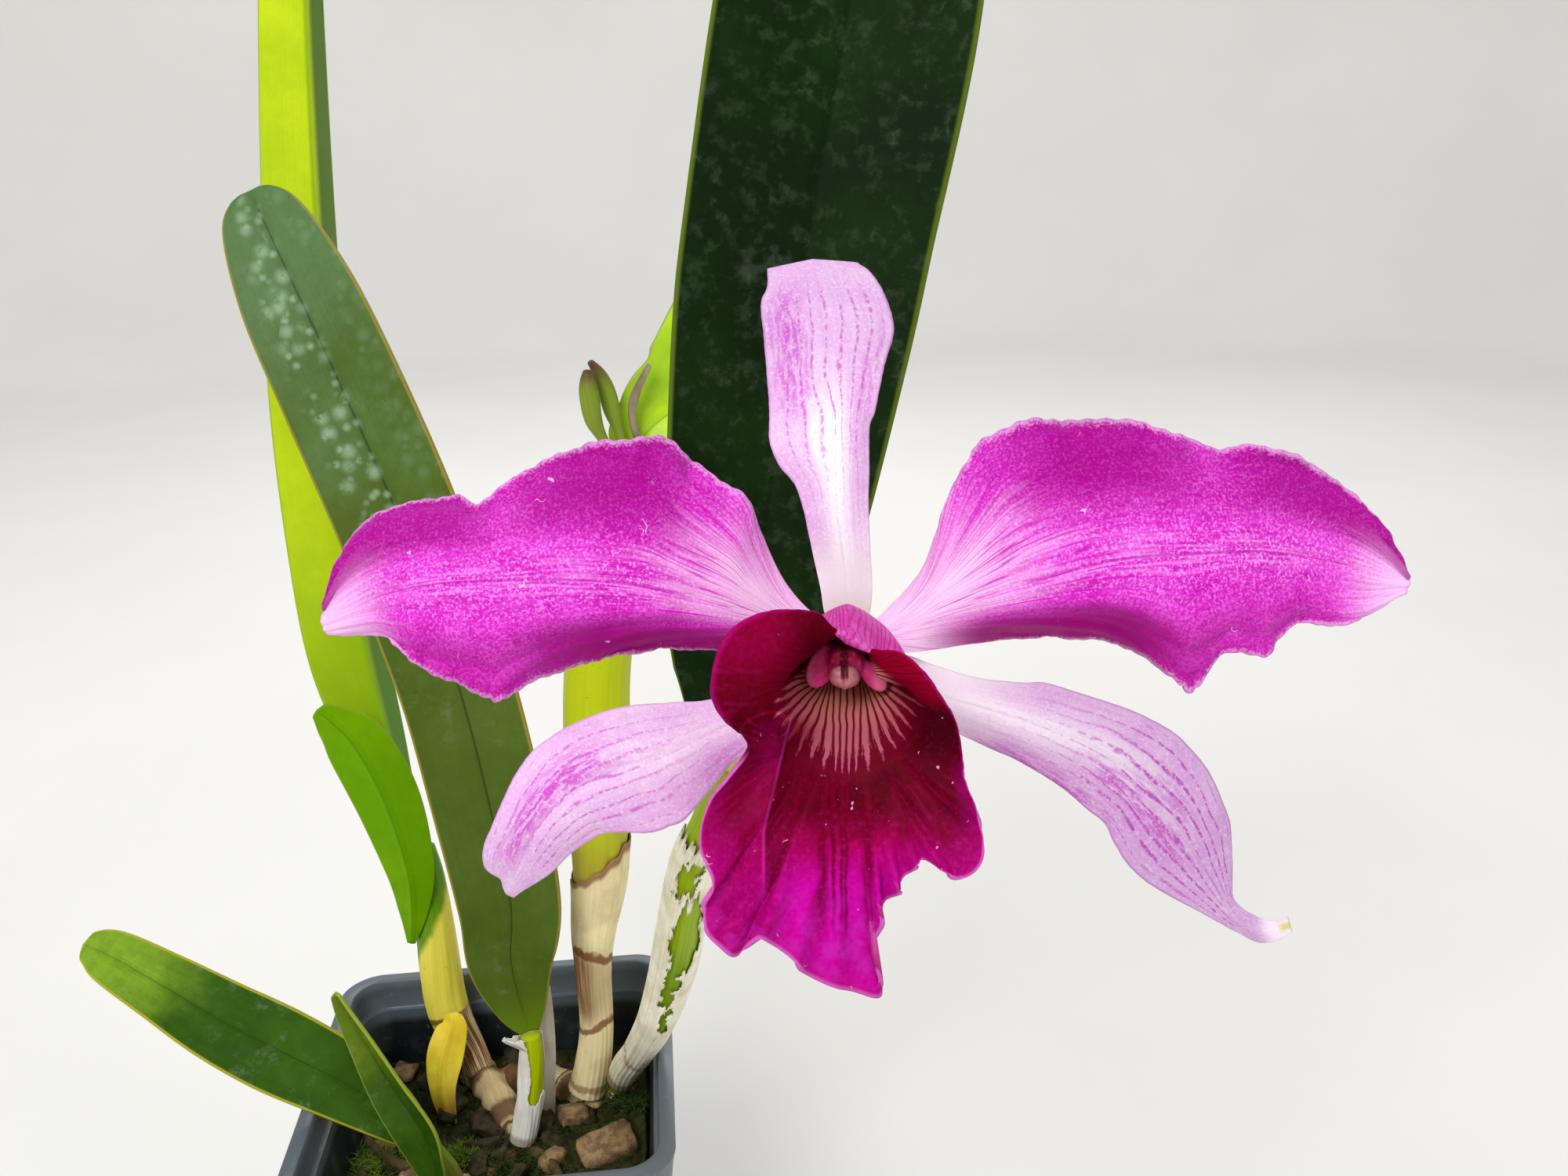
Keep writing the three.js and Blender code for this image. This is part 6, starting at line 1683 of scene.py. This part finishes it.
class ORCHID_OT_pot(OrchidStep, bpy.types.Operator):
    """Adds the square plastic pot with its rim, ledge and drain holes"""
    bl_idname = "orchid.pot"
    bl_label = "Pot"

    def execute(self, context):
        profile = [[0.01, 0.004, 0], *POT_PROFILE, [0.01, 0.004, 3]]
        piece = add_tube("square_pot", (len(profile), 161), square_surface(profile))
        for x, y in DRAIN_HOLES:
            clear_selection()
            bpy.ops.mesh.primitive_cylinder_add(vertices=48, radius=DRAIN_RADIUS * MM, depth=12 * MM,
                                                location=(x * MM, y * MM, 0))
            drill = bpy.context.object
            modify(piece, "BOOLEAN", object=drill, operation="DIFFERENCE")
            bpy.data.objects.remove(drill)
        dress(piece, "pot", [pot_finish(context.scene.orchid_pot)], "pot")
        clear_selection()
        piece.select_set(True)
        bpy.context.view_layer.objects.active = piece
        bpy.ops.object.shade_smooth_by_angle(angle=math.radians(50))
        return {"FINISHED"}


class ORCHID_OT_stage(OrchidStep, bpy.types.Operator):
    """Adds the floor, the lights and the camera"""
    bl_idname = "orchid.stage"
    bl_label = "Floor, lights and camera"

    def execute(self, context):
        stage = context.scene.orchid_stage
        flat = stage.floor_radius / MM
        profile = np.array([[0.1, 0], [flat * 0.3, 0], [flat * 0.7, 0], [flat, 0], [flat * 1.1, 40],
                            [flat * 1.2, 180], [flat * 1.28, 420], [flat * 1.32, 800], [flat * 1.34, 1500],
                            [flat * 1.34, 2600]])

        def bowl(s, t):
            ring = along(profile, s)
            angle = 2 * np.pi * t
            return np.stack([ring[:, 0] * np.cos(angle), ring[:, 0] * np.sin(angle),
                             np.maximum(ring[:, 1], 0) - 0.2], axis=1)
        floor = add_sheet("studio_floor", (90, 121), bowl)
        edit(floor, weld)
        look = Finish("floor", roughness=0.85, specular=0.2, follows=False)
        cloud = look.noise(400.0).rise(0.3, 0.7)
        look.join("Base Color", look.mix(cloud, stage.floor, paint(232, 231, 228)))
        floor.data.materials.append(look.material)
        bpy.ops.object.shade_smooth()

        world = bpy.data.worlds.new("studio")
        context.scene.world = world
        world.use_nodes = True
        sky = world.node_tree.nodes["Background"].inputs
        sky["Color"].default_value, sky["Strength"].default_value = (0.98, 0.99, 1.0, 1.0), stage.sky
        for kind, place, size in LIGHTS:
            name = kind + "_light"
            light = bpy.data.objects.new(name, bpy.data.lights.new(name, "AREA"))
            light.data.shape, light.data.size = "DISK", size
            light.data.energy = getattr(stage, kind + "_power")
            light.location = place
            goal = Vector(WALL_GOAL if kind == "wall" else LIGHT_GOAL)
            light.rotation_euler = (goal - Vector(place)).to_track_quat("-Z", "Y").to_euler()
            context.collection.objects.link(light)

        camera = bpy.data.objects.new("camera", bpy.data.cameras.new("camera"))
        camera.data.lens, camera.data.sensor_width = stage.lens, SENSOR_WIDTH
        camera.location = CAMERA_PLACE
        right, up = Vector(CAMERA_RIGHT), Vector(CAMERA_UP)
        axes = Matrix((right, up, right.cross(up))).transposed()
        camera.rotation_euler = axes.to_euler()
        context.collection.objects.link(camera)
        context.scene.camera = camera
        context.scene.view_settings.view_transform = "Standard"
        return {"FINISHED"}


STEPS = (
    ORCHID_OT_petals, ORCHID_OT_sepals, ORCHID_OT_lip, ORCHID_OT_column, ORCHID_OT_stalk, ORCHID_OT_buds,
    ORCHID_OT_leaves, ORCHID_OT_bulbs, ORCHID_OT_sheaths, ORCHID_OT_bracts, ORCHID_OT_rootstock,
    ORCHID_OT_mix, ORCHID_OT_pot, ORCHID_OT_stage,
)
SETTINGS = {
    "orchid_flower": OrchidFlowerSettings, "orchid_plant": OrchidPlantSettings,
    "orchid_pot": OrchidPotSettings, "orchid_stage": OrchidStageSettings,
}


class ORCHID_PT_panel(bpy.types.Panel):
    """Lists the orchid's settings and building steps"""
    bl_idname = "ORCHID_PT_panel"
    bl_label = "Potted orchid"
    bl_space_type = "VIEW_3D"
    bl_region_type = "UI"
    bl_category = "Orchid"

    def draw(self, context):
        for name, settings in SETTINGS.items():
            box = self.layout.box()
            for field in settings.__annotations__:
                box.prop(getattr(context.scene, name), field)
        for step in STEPS:
            self.layout.operator(step.bl_idname)


CLASSES = (*SETTINGS.values(), *STEPS, ORCHID_PT_panel)


def register():
    """Registers the settings, the steps and the panel."""
    for cls in CLASSES:
        bpy.utils.register_class(cls)
    for name, settings in SETTINGS.items():
        setattr(bpy.types.Scene, name, bpy.props.PointerProperty(type=settings))


def unregister():
    """Takes them away again."""
    for name in SETTINGS:
        delattr(bpy.types.Scene, name)
    for cls in reversed(CLASSES):
        bpy.utils.unregister_class(cls)


def main():
    """Builds the whole scene."""
    register()
    for step in STEPS:
        group, name = step.bl_idname.split(".")
        getattr(getattr(bpy.ops, group), name)()
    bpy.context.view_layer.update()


if __name__ == "__main__":
    main()
